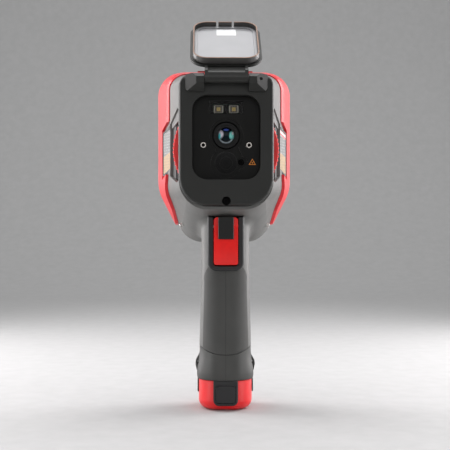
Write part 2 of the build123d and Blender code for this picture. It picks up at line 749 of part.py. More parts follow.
with BuildPart() as trigger_window:
    with BuildSketch(Plane.XZ.offset(-SURROUND_FRONT)) as surround_outline:
        with BuildLine():
            Polyline(
                (-SURROUND_WIDTH / 2, SURROUND_TOP), (-SURROUND_WIDTH / 2, SURROUND_LOW),
                (SURROUND_WIDTH / 2, SURROUND_LOW), (SURROUND_WIDTH / 2, SURROUND_TOP), close=True,
            )
        make_face()
        fillet(surround_outline.vertices().group_by(Axis.Y)[0], 7.0)
    extrude(amount=-TRIGGER_ROOM)

with BuildPart() as surround_space:
    # the part of that block which lies below the head
    add(trigger_window.part)
    add(head_block(HULL_FRONT, HULL_BACK), mode=Mode.SUBTRACT)

with BuildPart() as clamshell:
    add(head_block(HULL_FRONT, HULL_BACK))
    add(handle_block())
    # blend where the handle runs into the head's underside
    neck_band = clamshell.edges().filter_by(lambda e: NECK_LOW < e.center().Z < NECK_HIGH)
    neck_loop = neck_band.filter_by(lambda e: max(abs(e.position_at(end).X) for end in (0, 1)) < NECK_HALF)
    neck_loop = neck_loop.filter_by(lambda e: max(abs(e.position_at(end).Y) for end in (0, 1)) < NECK_REACH)
    fillet(neck_loop, NECK_FILLET)
    add(head_block(HULL_FRONT - 1, HULL_BACK + 1, -WALL), mode=Mode.SUBTRACT)
    add(handle_block(-(GRIP_RUBBER + HANDLE_WALL)), mode=Mode.SUBTRACT)
    add(slot_cut.part, mode=Mode.SUBTRACT)
    add(slot_relief.part, mode=Mode.SUBTRACT)
    add(flank_plate(12, LABEL_WALL + 12, -EASE), mode=Mode.SUBTRACT)
    # ribs inside the head stop the bulkhead; ring runs free
    with BuildSketch(facing(RING_FRONT - SLIP)):
        with Locations((0, RING_Z)):
            Circle(RING_RADIUS + 0.5)
    extrude(amount=-(RING_BACK - RING_FRONT + 2 * SLIP), mode=Mode.SUBTRACT)
    add(surround_space.part, mode=Mode.SUBTRACT)

with BuildPart() as rubber_skin:
    add(handle_block())
    add(handle_block(-GRIP_RUBBER), mode=Mode.SUBTRACT)
    add(grip_zone.part, mode=Mode.INTERSECT)
    add(trigger_window.part, mode=Mode.SUBTRACT)

COLLAR_STATIONS = (
    (HANDLE_FOOT, 45.4, 51.6),
    (31.0, 46.2, 52.6),
    (40.0, 43.4, 50.4),
    (50.0, 42.0, 49.4),
    (60.0, 41.6, 49.5),
)
with BuildPart() as handle_collar:
    add(handle_block(0, COLLAR_STATIONS))
    # strap lugs on both flanks
    with BuildSketch(Plane.XZ):
        with BuildLine():
            Polyline(
                (18, 30.7), (23.4, 30.7), (24.4, 35.5), (24.2, 38.5), (21.3, 43.7), (18, 43.7), close=True
            )
        make_face()
        mirror(about=Plane.YZ)
    extrude(amount=5.5, both=True)
    add(below_arc(GRIP_LOW - 0.4), mode=Mode.INTERSECT)
    add(handle_block(-GRIP_RUBBER), mode=Mode.SUBTRACT)
    with BuildSketch(Plane.XY.offset(20)):
        RectangleRounded(
            BATTERY_WIDTH - 2 * GRIP_RUBBER, BATTERY_DEEP - 2 * GRIP_RUBBER, BATTERY_CORNER - GRIP_RUBBER
        )
    extrude(amount=8, mode=Mode.SUBTRACT)
    # strap holes through the lugs, front to back
    with BuildSketch(Plane.XZ.offset(10)):
        with Locations((-22.2, 37.2), (22.2, 37.2)):
            Circle(1.0)
    extrude(amount=-20, mode=Mode.SUBTRACT)
handle_collar.part.label = "handle_collar"
export_step(handle_collar.part, "parts/handle_collar.step")

with BuildPart() as skin_space:
    # the layer of the handle that rubber and collar take up
    add(grip_zone.part)
    add(below_arc(GRIP_LOW + 0.2))
    add(handle_block(), mode=Mode.INTERSECT)
    add(handle_block(-GRIP_RUBBER), mode=Mode.SUBTRACT)

with BuildPart() as moulding:
    # both halves of the clamshell before they are split
    add(clamshell.part)
    add(skin_space.part, mode=Mode.SUBTRACT)
    add(strap_studs.part, mode=Mode.SUBTRACT)

with BuildPart() as left_shell:
    add(moulding.part)
    split(bisect_by=Plane.YZ, keep=Keep.BOTTOM)
left_shell.part.label = "left_shell"
export_step(left_shell.part, "parts/left_shell.step")

with BuildPart() as right_shell:
    add(moulding.part)
    split(bisect_by=Plane.YZ, keep=Keep.TOP)
right_shell.part.label = "right_shell"
export_step(right_shell.part, "parts/right_shell.step")

with BuildPart() as left_grip:
    add(rubber_skin.part)
    split(bisect_by=Plane.YZ, keep=Keep.BOTTOM)
left_grip.part.label = "left_grip"
export_step(left_grip.part, "parts/left_grip.step")

with BuildPart() as right_grip:
    add(rubber_skin.part)
    split(bisect_by=Plane.YZ, keep=Keep.TOP)
right_grip.part.label = "right_grip"
export_step(right_grip.part, "parts/right_grip.step")

with BuildPart() as slot_floors:
    # dark floors of the two finger slots, behind the focus ring
    add(head_block(RETAINER_BACK + EASE, SLOT_BACK, -GUARD_SINK))
    add(slot_cut.part, mode=Mode.INTERSECT)
    with BuildSketch(facing(0)):
        with Locations((0, (SLOT_LOW + SLOT_HIGH) / 2)):
            Rectangle(70, 80)
    extrude(amount=-60, mode=Mode.SUBTRACT)
slot_floors.part.label = "slot_floors"
export_step(slot_floors.part, "parts/slot_floors.step")

# ---------------------------------------------------------------- trigger
with BuildPart() as trigger_surround:
    add(trigger_window.part)
    add(head_block(HULL_FRONT, HULL_BACK, EASE), mode=Mode.SUBTRACT)
    # slanted top follows the chin, front edges rolled
    fillet(trigger_surround.faces().sort_by(Axis.Y)[0].edges(), 2.0)
    with BuildSketch(Plane.XZ.offset(-SURROUND_FRONT + 1)) as opening:
        with Locations((0, TRIGGER_LOW - 0.5)):
            RectangleRounded(TRIGGER_WIDTH + 1.0, 60, 2.6, align=(Align.CENTER, Align.MIN))
    extrude(amount=-TRIGGER_ROOM - 4, mode=Mode.SUBTRACT)
    with BuildSketch(Plane.YZ.offset(-13.6)):
        with Locations((TRIGGER_PIVOT_Y, TRIGGER_PIVOT_Z)):
            Circle(TRIGGER_PIN + 0.01)
    extrude(amount=27.2, mode=Mode.SUBTRACT)
    # only a short rim is left behind the handle's surface
    with BuildSketch(Plane.XY.offset(SURROUND_LOW - 1)):
        with Locations((0, SURROUND_FRONT + TRIGGER_ROOM)):
            Rectangle(SURROUND_WIDTH + 2, 9.0)
    extrude(amount=60, mode=Mode.SUBTRACT)
trigger_surround.part.label = "trigger_surround"
export_step(trigger_surround.part, "parts/trigger_surround.step")

with BuildPart() as trigger:
    with BuildSketch(Plane.YZ):
        with BuildLine():
            Line((-23.2, TRIGGER_LOW), (-34.6, TRIGGER_LOW + 0.8))
            ThreePointArc((-34.6, TRIGGER_LOW + 0.8), (-33.0, 133.0), (-35.0, TRIGGER_TOP - 7))
            Line((-35.0, TRIGGER_TOP - 7), (-33.4, TRIGGER_TOP))
            Polyline((-33.4, TRIGGER_TOP), (-26.0, TRIGGER_TOP - 1.8), (-22.0, 151.5), (-23.2, TRIGGER_LOW))
        make_face()
    extrude(amount=TRIGGER_WIDTH / 2, both=True)
    fillet(trigger.edges().filter_by(Axis.Y, reverse=True).group_by(Axis.Y)[0], 0.8)
    # rounded ends, as seen from the front
    with BuildSketch(Plane.XZ.offset(40)):
        with Locations((0, (TRIGGER_LOW + TRIGGER_TOP) / 2)):
            RectangleRounded(TRIGGER_WIDTH, TRIGGER_TOP - TRIGGER_LOW, 2.8)
    extrude(amount=-30, mode=Mode.INTERSECT)
    with BuildSketch(Plane.YZ.offset(-TRIGGER_WIDTH)):
        with Locations((TRIGGER_PIVOT_Y, TRIGGER_PIVOT_Z)):
            Circle(TRIGGER_PIN + PIN_PLAY)
    extrude(amount=2 * TRIGGER_WIDTH, mode=Mode.SUBTRACT)
    # hollow back, which leaves a finger that presses the switch
    with BuildSketch(Plane.XZ.offset(22)):
        with Locations((0, 129)):
            RectangleRounded(TRIGGER_WIDTH - 5, 19, 1.5)
        with Locations((0, 129)):
            Rectangle(5, 30, mode=Mode.SUBTRACT)
    extrude(amount=8, mode=Mode.SUBTRACT)
trigger.part.label = "trigger"
export_step(trigger.part, "parts/trigger.step")

with BuildPart() as trigger_pad:
    # dark insert over the upper middle of the trigger
    with BuildSketch(Plane.XZ.offset(37.0)):
        with Locations((0, (PAD_LOW + PAD_TOP) / 2)):
            RectangleRounded(12.4, PAD_TOP - PAD_LOW, 1.0)
    extrude(amount=-6)
    fillet(trigger_pad.faces().sort_by(Axis.Y)[0].edges(), 0.9)
    add(trigger.part, mode=Mode.SUBTRACT)
trigger_pad.part.label = "trigger_pad"
export_step(trigger_pad.part, "parts/trigger_pad.step")

with BuildPart() as trigger_pin:
    with BuildSketch(Plane.YZ.offset(-13.6)):
        with Locations((TRIGGER_PIVOT_Y, TRIGGER_PIVOT_Z)):
            Circle(TRIGGER_PIN)
    extrude(amount=27.2)
trigger_pin.part.label = "trigger_pin"
export_step(trigger_pin.part, "parts/trigger_pin.step")

SWITCH_Z = 127.0
with BuildPart() as switch_bracket:
    # plate across the inside of the handle
    add(handle_block(-(GRIP_RUBBER + HANDLE_WALL + EASE)))
    with BuildSketch(Plane.XZ.offset(13)):
        with Locations((0, SWITCH_Z)):
            Rectangle(50, 20)
    extrude(amount=2.2, mode=Mode.INTERSECT)
switch_bracket.part.label = "switch_bracket"
export_step(switch_bracket.part, "parts/switch_bracket.step")

with BuildPart() as trigger_switch:
    with BuildSketch(Plane.XZ.offset(15.2)):
        with Locations((0, SWITCH_Z)):
            RectangleRounded(12.0, 7.0, 0.6)
    extrude(amount=4.0)
    with BuildSketch(Plane.XZ.offset(19.2)):
        with Locations((0, SWITCH_Z)):
            Circle(1.5)
    extrude(amount=0.8)
trigger_switch.part.label = "trigger_switch"
export_step(trigger_switch.part, "parts/trigger_switch.step")

# ---------------------------------------------------------------- battery
with BuildPart() as battery_case:
    with BuildSketch(Plane.XY):
        RectangleRounded(BATTERY_WIDTH, BATTERY_DEEP, BATTERY_CORNER)
    extrude(amount=BATTERY_TOP)
    fillet(battery_case.faces().sort_by(Axis.Z)[0].edges(), BATTERY_ROLL)
    chamfer(battery_case.faces().sort_by(Axis.Z)[-1].edges(), 0.4)
    with BuildSketch(Plane.XY.offset(BATTERY_TOP)):
        RectangleRounded(PACK_WIDTH, PACK_DEEP, PACK_CORNER)
    extrude(amount=PACK_TOP - BATTERY_TOP)
    with BuildSketch(Plane.XY.offset(BATTERY_TOP + 1.0)):
        RectangleRounded(PACK_WIDTH - 2 * PACK_WALL, PACK_DEEP - 2 * PACK_WALL, PACK_CORNER - PACK_WALL)
    extrude(amount=PACK_TOP - BATTERY_TOP - 2.0, mode=Mode.SUBTRACT)
    # pocket for the latch on the front, pockets for the squeeze pads on the flanks
    with BuildSketch(Plane.XZ.offset(30)):
        with Locations((0, LATCH_LOW)):
            RectangleRounded(LATCH_WIDTH, 40, 4.6, align=(Align.CENTER, Align.MIN))
    extrude(amount=-9.8, mode=Mode.SUBTRACT)
    with BuildSketch(Plane.YZ.offset(18.6)):
        with Locations((0, 19.0)):
            RectangleRounded(19, 12, 2.5)
    extrude(amount=10, mode=Mode.SUBTRACT)
    with BuildSketch(Plane.YZ.offset(-18.6)):
        with Locations((0, 19.0)):
            RectangleRounded(19, 12, 2.5)
    extrude(amount=-10, mode=Mode.SUBTRACT)
battery_case.part.label = "battery_case"
export_step(battery_case.part, "parts/battery_case.step")

with BuildPart() as latch_frame:
    with BuildSketch(Plane.XZ.offset(25.9)):
        with Locations((0, LATCH_LOW)):
            RectangleRounded(
                LATCH_WIDTH - 0.1, BATTERY_TOP - LATCH_LOW, 4.55, align=(Align.CENTER, Align.MIN)
            )
        with Locations((0, BATTERY_TOP)):
            Rectangle(LATCH_WIDTH - 0.1, 8, align=(Align.CENTER, Align.MAX))
    extrude(amount=-5.7)
    chamfer(latch_frame.faces().sort_by(Axis.Y)[0].edges(), 0.5)
    with BuildSketch(Plane.XZ.offset(25.9)):
        with Locations((0, LATCH_BUTTON_LOW - SLIP)):
            RectangleRounded(
                LATCH_BUTTON_WIDTH + 2 * SLIP, LATCH_BUTTON_TOP - LATCH_BUTTON_LOW + 2 * SLIP, 3.2,
                align=(Align.CENTER, Align.MIN),
            )
    extrude(amount=-5.0, mode=Mode.SUBTRACT)
latch_frame.part.label = "latch_frame"
export_step(latch_frame.part, "parts/latch_frame.step")

with BuildPart() as latch_button:
    with BuildSketch(Plane.XZ.offset(26.1)):
        with Locations((0, LATCH_BUTTON_LOW)):
            RectangleRounded(
                LATCH_BUTTON_WIDTH, LATCH_BUTTON_TOP - LATCH_BUTTON_LOW, 2.9, align=(Align.CENTER, Align.MIN)
            )
    extrude(amount=-3.0)
    fillet(latch_button.faces().sort_by(Axis.Y)[0].edges(), 0.6)
latch_button.part.label = "latch_button"
export_step(latch_button.part, "parts/latch_button.step")

with BuildPart() as right_pad:
    with BuildSketch(Plane.YZ.offset(20.4)):
        with Locations((0, 19.0)):
            RectangleRounded(19 - 2 * SLIP, 12 - 2 * SLIP, 2.2)
    extrude(amount=2.4)
    fillet(right_pad.faces().sort_by(Axis.X)[-1].edges(), 0.8)
right_pad.part.label = "right_pad"
export_step(right_pad.part, "parts/right_pad.step")

with BuildPart() as left_pad:
    add(right_pad.part.mirror(Plane.YZ))
left_pad.part.label = "left_pad"
export_step(left_pad.part, "parts/left_pad.step")

with BuildPart() as battery_cells:
    with BuildSketch(Plane.XY.offset(BATTERY_TOP + 1.2)):
        with Locations((0, -CELL_RADIUS - 0.2), (0, CELL_RADIUS + 0.2)):
            Circle(CELL_RADIUS)
    extrude(amount=CELL_LENGTH)
    with BuildSketch(Plane.XY.offset(BATTERY_TOP + 1.2 + CELL_LENGTH)):
        with Locations((0, -CELL_RADIUS - 0.2), (0, CELL_RADIUS + 0.2)):
            Circle(3.0)
    extrude(amount=1.2)
battery_cells.part.label = "battery_cells"
export_step(battery_cells.part, "parts/battery_cells.step")

with BuildPart() as battery_contacts:
    with BuildSketch(Plane.XY.offset(PACK_TOP)):
        with GridLocations(0, 5.0, 1, 4):
            RectangleRounded(7, 2.4, 0.4)
    extrude(amount=0.2)
battery_contacts.part.label = "battery_contacts"
export_step(battery_contacts.part, "parts/battery_contacts.step")

with BuildPart() as contact_block:
    add(handle_block(-(GRIP_RUBBER + HANDLE_WALL + EASE)))
    split(bisect_by=Plane.XY.offset(PACK_TOP + 0.8), keep=Keep.TOP)
    split(bisect_by=Plane.XY.offset(PACK_TOP + 4.8), keep=Keep.BOTTOM)
    with BuildSketch(Plane.XY.offset(PACK_TOP)):
        with Locations((0, 0)):
            Rectangle(12, 6)
    extrude(amount=6, mode=Mode.SUBTRACT)
contact_block.part.label = "contact_block"
export_step(contact_block.part, "parts/contact_block.step")

# ---------------------------------------------------------------- lens cover, drawn open
tilt = math.radians(OPEN_ABOVE)
cover_plane = Plane(
    origin=(0, HINGE_Y, HINGE_Z), x_dir=(1, 0, 0), z_dir=(0, -math.sin(tilt), math.cos(tilt))
)
COVER_MIDDLE = COVER_NEAR + COVER_LENGTH / 2
LIP_WIDTH = COVER_WIDTH - 2 * LIP_INSET
LIP_LENGTH = COVER_LENGTH - 2 * LIP_INSET - 0.6
LIP_MIDDLE = COVER_MIDDLE - 0.3
LIP_BASE = COVER_OFFSET + COVER_PLATE
LIP_CORNER = COVER_RADIUS - LIP_INSET
TRAY_WIDTH = LIP_WIDTH - 2 * LIP_WALL
TRAY_LENGTH = LIP_LENGTH - 2 * LIP_WALL
TRAY_CORNER = LIP_CORNER - LIP_WALL
NOTCH_X = 6.4
FAR_END = LIP_MIDDLE + LIP_LENGTH / 2
ARM_HALF = HINGE_HALF - 0.4

with BuildPart() as cover_shell:
    with BuildSketch(cover_plane.offset(COVER_OFFSET)):
        with Locations((0, COVER_MIDDLE)):
            RectangleRounded(COVER_WIDTH, COVER_LENGTH, COVER_RADIUS)
    extrude(amount=COVER_PLATE)
    cover_faces = cover_shell.faces().filter_by(cover_plane)
    fillet(cover_faces.sort_by(Axis(cover_plane.origin, cover_plane.z_dir))[0].edges(), 1.8)
cover_shell.part.label = "cover_shell"
export_step(cover_shell.part, "parts/cover_shell.step")

with BuildPart() as cover_lip:
    # rim that plugs into the lens recess, with a clip tab between two notches at the far end
    with BuildSketch(cover_plane.offset(LIP_BASE)):
        with Locations((0, LIP_MIDDLE)):
            RectangleRounded(LIP_WIDTH, LIP_LENGTH, LIP_CORNER)
            RectangleRounded(TRAY_WIDTH, TRAY_LENGTH, TRAY_CORNER, mode=Mode.SUBTRACT)
    extrude(amount=LIP_HEIGHT)
    with BuildSketch(cover_plane.offset(LIP_BASE + LIP_HEIGHT)):
        with Locations((-NOTCH_X, FAR_END), (NOTCH_X, FAR_END)):
            Rectangle(1.8, 6)
    extrude(amount=-4.0, mode=Mode.SUBTRACT)
cover_lip.part.label = "cover_lip"
export_step(cover_lip.part, "parts/cover_lip.step")

with BuildPart() as cover_liner:
    # pale inner tray with a stepped edge
    with BuildSketch(cover_plane.offset(LIP_BASE)):
        with Locations((0, LIP_MIDDLE)):
            RectangleRounded(TRAY_WIDTH - 0.1, TRAY_LENGTH - 0.1, TRAY_CORNER)
    extrude(amount=1.4)
    with BuildSketch(cover_plane.offset(LIP_BASE + 1.4)):
        with Locations((0, LIP_MIDDLE)):
            RectangleRounded(TRAY_WIDTH - 5, TRAY_LENGTH - 5, TRAY_CORNER - 2.4)
    extrude(amount=-0.8, mode=Mode.SUBTRACT)
    with BuildSketch(cover_plane.offset(LIP_BASE + 1.4)):
        with Locations((-18, COVER_NEAR + 11), (18, COVER_NEAR + 11)):
            Circle(1.6)
    extrude(amount=-1.1, mode=Mode.SUBTRACT)
cover_liner.part.label = "cover_liner"
export_step(cover_liner.part, "parts/cover_liner.step")

with BuildPart() as cover_label:
    with BuildSketch(cover_plane.offset(LIP_BASE + 0.6)):
        with Locations((0.8, COVER_NEAR + COVER_LENGTH - 14)):
            RectangleRounded(16, 11, 0.6)
    extrude(amount=0.15)
cover_label.part.label = "cover_label"
export_step(cover_label.part, "parts/cover_label.step")

arm_plane = Plane(origin=(-ARM_HALF, HINGE_Y, HINGE_Z), x_dir=cover_plane.y_dir, z_dir=(1, 0, 0))
with BuildPart() as hinge_arm:
    with BuildSketch(arm_plane):
        Circle(3.3)
        with BuildLine():
            Polyline(
                (-1.0, 0), (-1.0, 3.2), (3.0, LIP_BASE), (COVER_NEAR, LIP_BASE),
                (COVER_NEAR, COVER_OFFSET + 0.4), (3.2, -0.6), close=True,
            )
        make_face()
    extrude(amount=2 * ARM_HALF)
    # sunken middle between two side ribs
    with BuildSketch(cover_plane.offset(COVER_OFFSET + 1.4)):
        with Locations((0, 6.5)):
            Rectangle(2 * ARM_HALF - 5, 12)
    extrude(amount=4, mode=Mode.SUBTRACT)
    with BuildSketch(Plane.YZ.offset(-ARM_HALF)):
        with Locations((HINGE_Y, HINGE_Z)):
            Circle(HINGE_PIN + PIN_PLAY)
    extrude(amount=2 * ARM_HALF, mode=Mode.SUBTRACT)
    add(cover_shell.part, mode=Mode.SUBTRACT)
hinge_arm.part.label = "hinge_arm"
export_step(hinge_arm.part, "parts/hinge_arm.step")

with BuildPart() as hinge_pin:
    with BuildSketch(Plane.YZ.offset(-PIN_LEFT)):
        with Locations((HINGE_Y, HINGE_Z)):
            Circle(HINGE_PIN)
    extrude(amount=PIN_LEFT + PIN_RIGHT)
hinge_pin.part.label = "hinge_pin"
export_step(hinge_pin.part, "parts/hinge_pin.step")

# ---------------------------------------------------------------- rear housing
REAR_GROW = -3.4
REAR_PLATE = 3.0
DOME_DEPTH = 87.6

with BuildPart() as rear_housing:
    add(head_block(HULL_BACK + EASE, REAR_DEPTH, -0.3, REAR_GROW))
    fillet(rear_housing.faces().sort_by(Axis.Y)[-1].edges(), 2.0)
    add(head_block(HULL_BACK - 3, HULL_BACK + EASE, -(WALL + 0.3)))
    add(head_block(HULL_BACK - 4, REAR_DEPTH - REAR_PLATE, -5.2, -6.4), mode=Mode.SUBTRACT)
    # screen: glass pocket, then the opening over the display
    with BuildSketch(facing(REAR_DEPTH)):
        with Locations((0, SCREEN_Z)):
            RectangleRounded(SCREEN_WIDTH, SCREEN_HEIGHT, 4)
    extrude(amount=1.4, mode=Mode.SUBTRACT)
    with BuildSketch(facing(REAR_DEPTH)):
        with Locations((0, SCREEN_Z)):
            RectangleRounded(VIEW_WIDTH, VIEW_HEIGHT, 2)
    extrude(amount=REAR_PLATE, mode=Mode.SUBTRACT)
    # key openings
    with BuildSketch(facing(REAR_DEPTH)):
        with Locations((0, KEY_Z)):
            Circle(NAV_RADIUS + SLIP)
        with Locations((-SIDE_KEY_X, SIDE_KEY_Z), (SIDE_KEY_X, SIDE_KEY_Z), (0, POWER_Z)):
            Circle(SIDE_KEY_RADIUS + SLIP)
    extrude(amount=REAR_PLATE, mode=Mode.SUBTRACT)
    # posts for the key board
    with BuildSketch(facing(REAR_DEPTH - REAR_PLATE)):
        with Locations((-22, 169), (22, 169), (-19, 195), (19, 195)):
            Circle(2.0)
    extrude(amount=REAR_DEPTH - REAR_PLATE - DOME_DEPTH)
rear_housing.part.label = "rear_housing"
export_step(rear_housing.part, "parts/rear_housing.step")

with BuildPart() as screen_glass:
    with BuildSketch(facing(REAR_DEPTH - 0.1)):
        with Locations((0, SCREEN_Z)):
            RectangleRounded(SCREEN_WIDTH - 0.2, SCREEN_HEIGHT - 0.2, 3.9)
    extrude(amount=1.3)
screen_glass.part.label = "screen_glass"
export_step(screen_glass.part, "parts/screen_glass.step")

with BuildPart() as display:
    with BuildSketch(facing(REAR_DEPTH - REAR_PLATE)):
        with Locations((0, SCREEN_Z)):
            RectangleRounded(VIEW_WIDTH + 6, VIEW_HEIGHT + 6, 1)
    extrude(amount=3.6)
display.part.label = "display"
export_step(display.part, "parts/display.step")

with BuildPart() as key_board:
    with BuildSketch(facing(DOME_DEPTH)):
        with Locations((0, 174)):
            RectangleRounded(60, 44, 3)
    extrude(amount=1.6)
key_board.part.label = "key_board"
export_step(key_board.part, "parts/key_board.step")

with BuildPart() as dome_switches:
    with BuildSketch(facing(DOME_DEPTH)):
        with Locations(
            (0, KEY_Z), (-SIDE_KEY_X, SIDE_KEY_Z), (SIDE_KEY_X, SIDE_KEY_Z), (0, POWER_Z),
            (-10.5, KEY_Z), (10.5, KEY_Z), (0, KEY_Z - 10.5), (0, KEY_Z + 10.5),
        ):
            Circle(2.2)
    extrude(amount=-0.7)
dome_switches.part.label = "dome_switches"
export_step(dome_switches.part, "parts/dome_switches.step")

CAP_DEPTH = DOME_DEPTH + 0.7 + KEY_TRAVEL + SLIP   # inner end of every key


def key_cap(x, z, radius, bore=0.0, proud=KEY_PROUD):
    """A round key with a retaining flange inside the housing."""
    with BuildPart() as cap:
        with BuildSketch(facing(REAR_DEPTH + proud)):
            with Locations((x, z)):
                Circle(radius)
        extrude(amount=REAR_DEPTH + proud - CAP_DEPTH)
        fillet(cap.faces().sort_by(Axis.Y)[-1].edges(), 0.5)
        with BuildSketch(facing(CAP_DEPTH + 1.2)):
            with Locations((x, z)):
                Circle(radius + 0.9)
        extrude(amount=1.2)
        if bore:
            with BuildSketch(facing(REAR_DEPTH + proud)):
                with Locations((x, z)):
                    Circle(bore)
            extrude(amount=20, mode=Mode.SUBTRACT)
    return cap.part


with BuildPart() as navigation_ring:
    add(key_cap(0, KEY_Z, NAV_RADIUS, OK_RADIUS + 0.9 + SLIP))
navigation_ring.part.label = "navigation_ring"
export_step(navigation_ring.part, "parts/navigation_ring.step")

with BuildPart() as ok_key:
    add(key_cap(0, KEY_Z, OK_RADIUS, proud=KEY_PROUD - 0.4))
ok_key.part.label = "ok_key"
export_step(ok_key.part, "parts/ok_key.step")

with BuildPart() as back_key:
    add(key_cap(SIDE_KEY_X, SIDE_KEY_Z, SIDE_KEY_RADIUS))
back_key.part.label = "back_key"
export_step(back_key.part, "parts/back_key.step")

with BuildPart() as play_key:
    add(key_cap(-SIDE_KEY_X, SIDE_KEY_Z, SIDE_KEY_RADIUS))
play_key.part.label = "play_key"
export_step(play_key.part, "parts/play_key.step")

with BuildPart() as power_key:
    add(key_cap(0, POWER_Z, SIDE_KEY_RADIUS, proud=0.6))
power_key.part.label = "power_key"
export_step(power_key.part, "parts/power_key.step")

with BuildPart() as main_board:
    with BuildSketch(facing(BOARD_DEPTH)):
        with Locations((0, BOARD_Z)):
            RectangleRounded(BOARD_WIDTH, BOARD_HEIGHT, 2)
    extrude(amount=-BOARD_THICK)
    # chips and shield cans on the rear face
    with BuildSketch(facing(BOARD_DEPTH + BOARD_THICK)):
        with Locations((-12, BOARD_Z + 8)):
            Rectangle(22, 22)
        with Locations((18, BOARD_Z - 12)):
            Rectangle(14, 18)
    extrude(amount=-2.0)
main_board.part.label = "main_board"
export_step(main_board.part, "parts/main_board.step")

# ---------------------------------------------------------------- rubber bumper and flank labels
with BuildPart() as raised_pad:
    add(head_block(BUMPER_FRONT + 6, BUMPER_BACK - 4, BUMPER_THICK + 1.1))
    add(head_block(HULL_FRONT, HULL_BACK), mode=Mode.SUBTRACT)
    with BuildSketch(Plane.XY.offset(REAR_OUTLINE[1] - 20)):
        with Locations((0, FRONT_Y + (BUMPER_FRONT + BUMPER_BACK) / 2)):
            RectangleRounded(PAD_WIDTH, BUMPER_BACK - BUMPER_FRONT + 4, 3.0)
    extrude(amount=40, mode=Mode.INTERSECT)

with BuildPart() as bumper:
    add(head_block(BUMPER_FRONT, BUMPER_FRONT + 2.5, 0.9, BUMPER_THICK))
    add(head_block(BUMPER_FRONT + 2.5, BUMPER_BACK, BUMPER_THICK))
    fillet(bumper.faces().sort_by(Axis.Y)[-1].edges(), 1.6)
    add(head_block(HULL_FRONT, HULL_BACK), mode=Mode.SUBTRACT)
    add(head_block(HULL_BACK, BUMPER_BACK + 1), mode=Mode.SUBTRACT)
    # low raised pad in the middle of the top
    add(raised_pad.part)
    # side view of the bumper: full band above, cut back beside the label, a tapering lobe below
    with BuildSketch(Plane.YZ):
        with BuildLine():
            Polyline(
                (FRONT_Y + 43, 300), (FRONT_Y + 43, 236), (FRONT_Y + 68, 230), (FRONT_Y + 68, 188),
                (FRONT_Y + 52, 192), (FRONT_Y + 54, 186), (FRONT_Y + 70, 163), (FRONT_Y + 84, 151.5),
                (FRONT_Y + 92, 149),
                (FRONT_Y + 92, 300), close=True,
            )
        make_face()
    extrude(amount=70, both=True, mode=Mode.INTERSECT)
bumper.part.label = "bumper"
export_step(bumper.part, "parts/bumper.step")


with BuildPart() as label_frames:
    add(flank_plate(LABEL_PROUD, LABEL_WALL, 0.01))
    add(flank_plate(5.0, 5.0, 1.4), mode=Mode.SUBTRACT)
label_frames.part.label = "label_frames"
export_step(label_frames.part, "parts/label_frames.step")

with BuildPart() as left_label:
    add(flank_plate(0.3, 0.3, 1.5))
    split(bisect_by=Plane.YZ, keep=Keep.BOTTOM)
left_label.part.label = "left_label"
export_step(left_label.part, "parts/left_label.step")

with BuildPart() as right_label:
    add(flank_plate(0.3, 0.3, 1.5))
    split(bisect_by=Plane.YZ, keep=Keep.TOP)
right_label.part.label = "right_label"
export_step(right_label.part, "parts/right_label.step")
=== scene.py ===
import json
import math
import bmesh
import bpy
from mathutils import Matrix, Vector


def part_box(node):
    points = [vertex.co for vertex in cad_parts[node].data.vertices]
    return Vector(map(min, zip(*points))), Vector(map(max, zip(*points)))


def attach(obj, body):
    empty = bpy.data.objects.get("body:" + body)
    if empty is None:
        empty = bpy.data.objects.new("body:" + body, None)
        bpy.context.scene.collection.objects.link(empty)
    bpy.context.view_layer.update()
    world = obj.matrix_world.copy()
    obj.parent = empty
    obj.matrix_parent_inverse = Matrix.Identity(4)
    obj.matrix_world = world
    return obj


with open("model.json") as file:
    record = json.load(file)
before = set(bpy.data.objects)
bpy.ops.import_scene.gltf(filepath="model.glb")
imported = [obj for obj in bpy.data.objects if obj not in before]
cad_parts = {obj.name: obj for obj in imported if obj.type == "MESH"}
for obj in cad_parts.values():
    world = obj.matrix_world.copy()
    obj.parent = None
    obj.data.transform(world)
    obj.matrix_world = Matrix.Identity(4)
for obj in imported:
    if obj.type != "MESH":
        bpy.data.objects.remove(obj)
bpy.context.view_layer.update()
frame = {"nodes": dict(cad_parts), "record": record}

# ---------------------------------------------------------------- places, in metres
FRONT_Y = -0.050                                # front face of the bezel
PANEL_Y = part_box("lens_panel")[0].y             # face of the black lens panel
COVER_TILT = math.radians(36.4)                 # open cover above horizontal
HINGE_Y, HINGE_Z = -0.0565, 0.2635              # cover hinge axis
LIP_BARE = 0.0112                               # height over the hinge axis where the rim turns brown
LENS_RADIUS = 0.0066                            # clear radius of the infrared lens
LAMP_HALF = 0.0037                              # half a lamp package
SCREW_HEAD = 0.0025                             # panel screw head radius
SCREW_SOCKET = 0.00135                          # radius of the painted socket shade on each panel screw
GRIP_SEAM, COLLAR_SEAM = 0.00018, 0.00012       # half widths of the mould parting lines
PRINT_HEIGHT = 0.00006                          # thickness of a printed mark


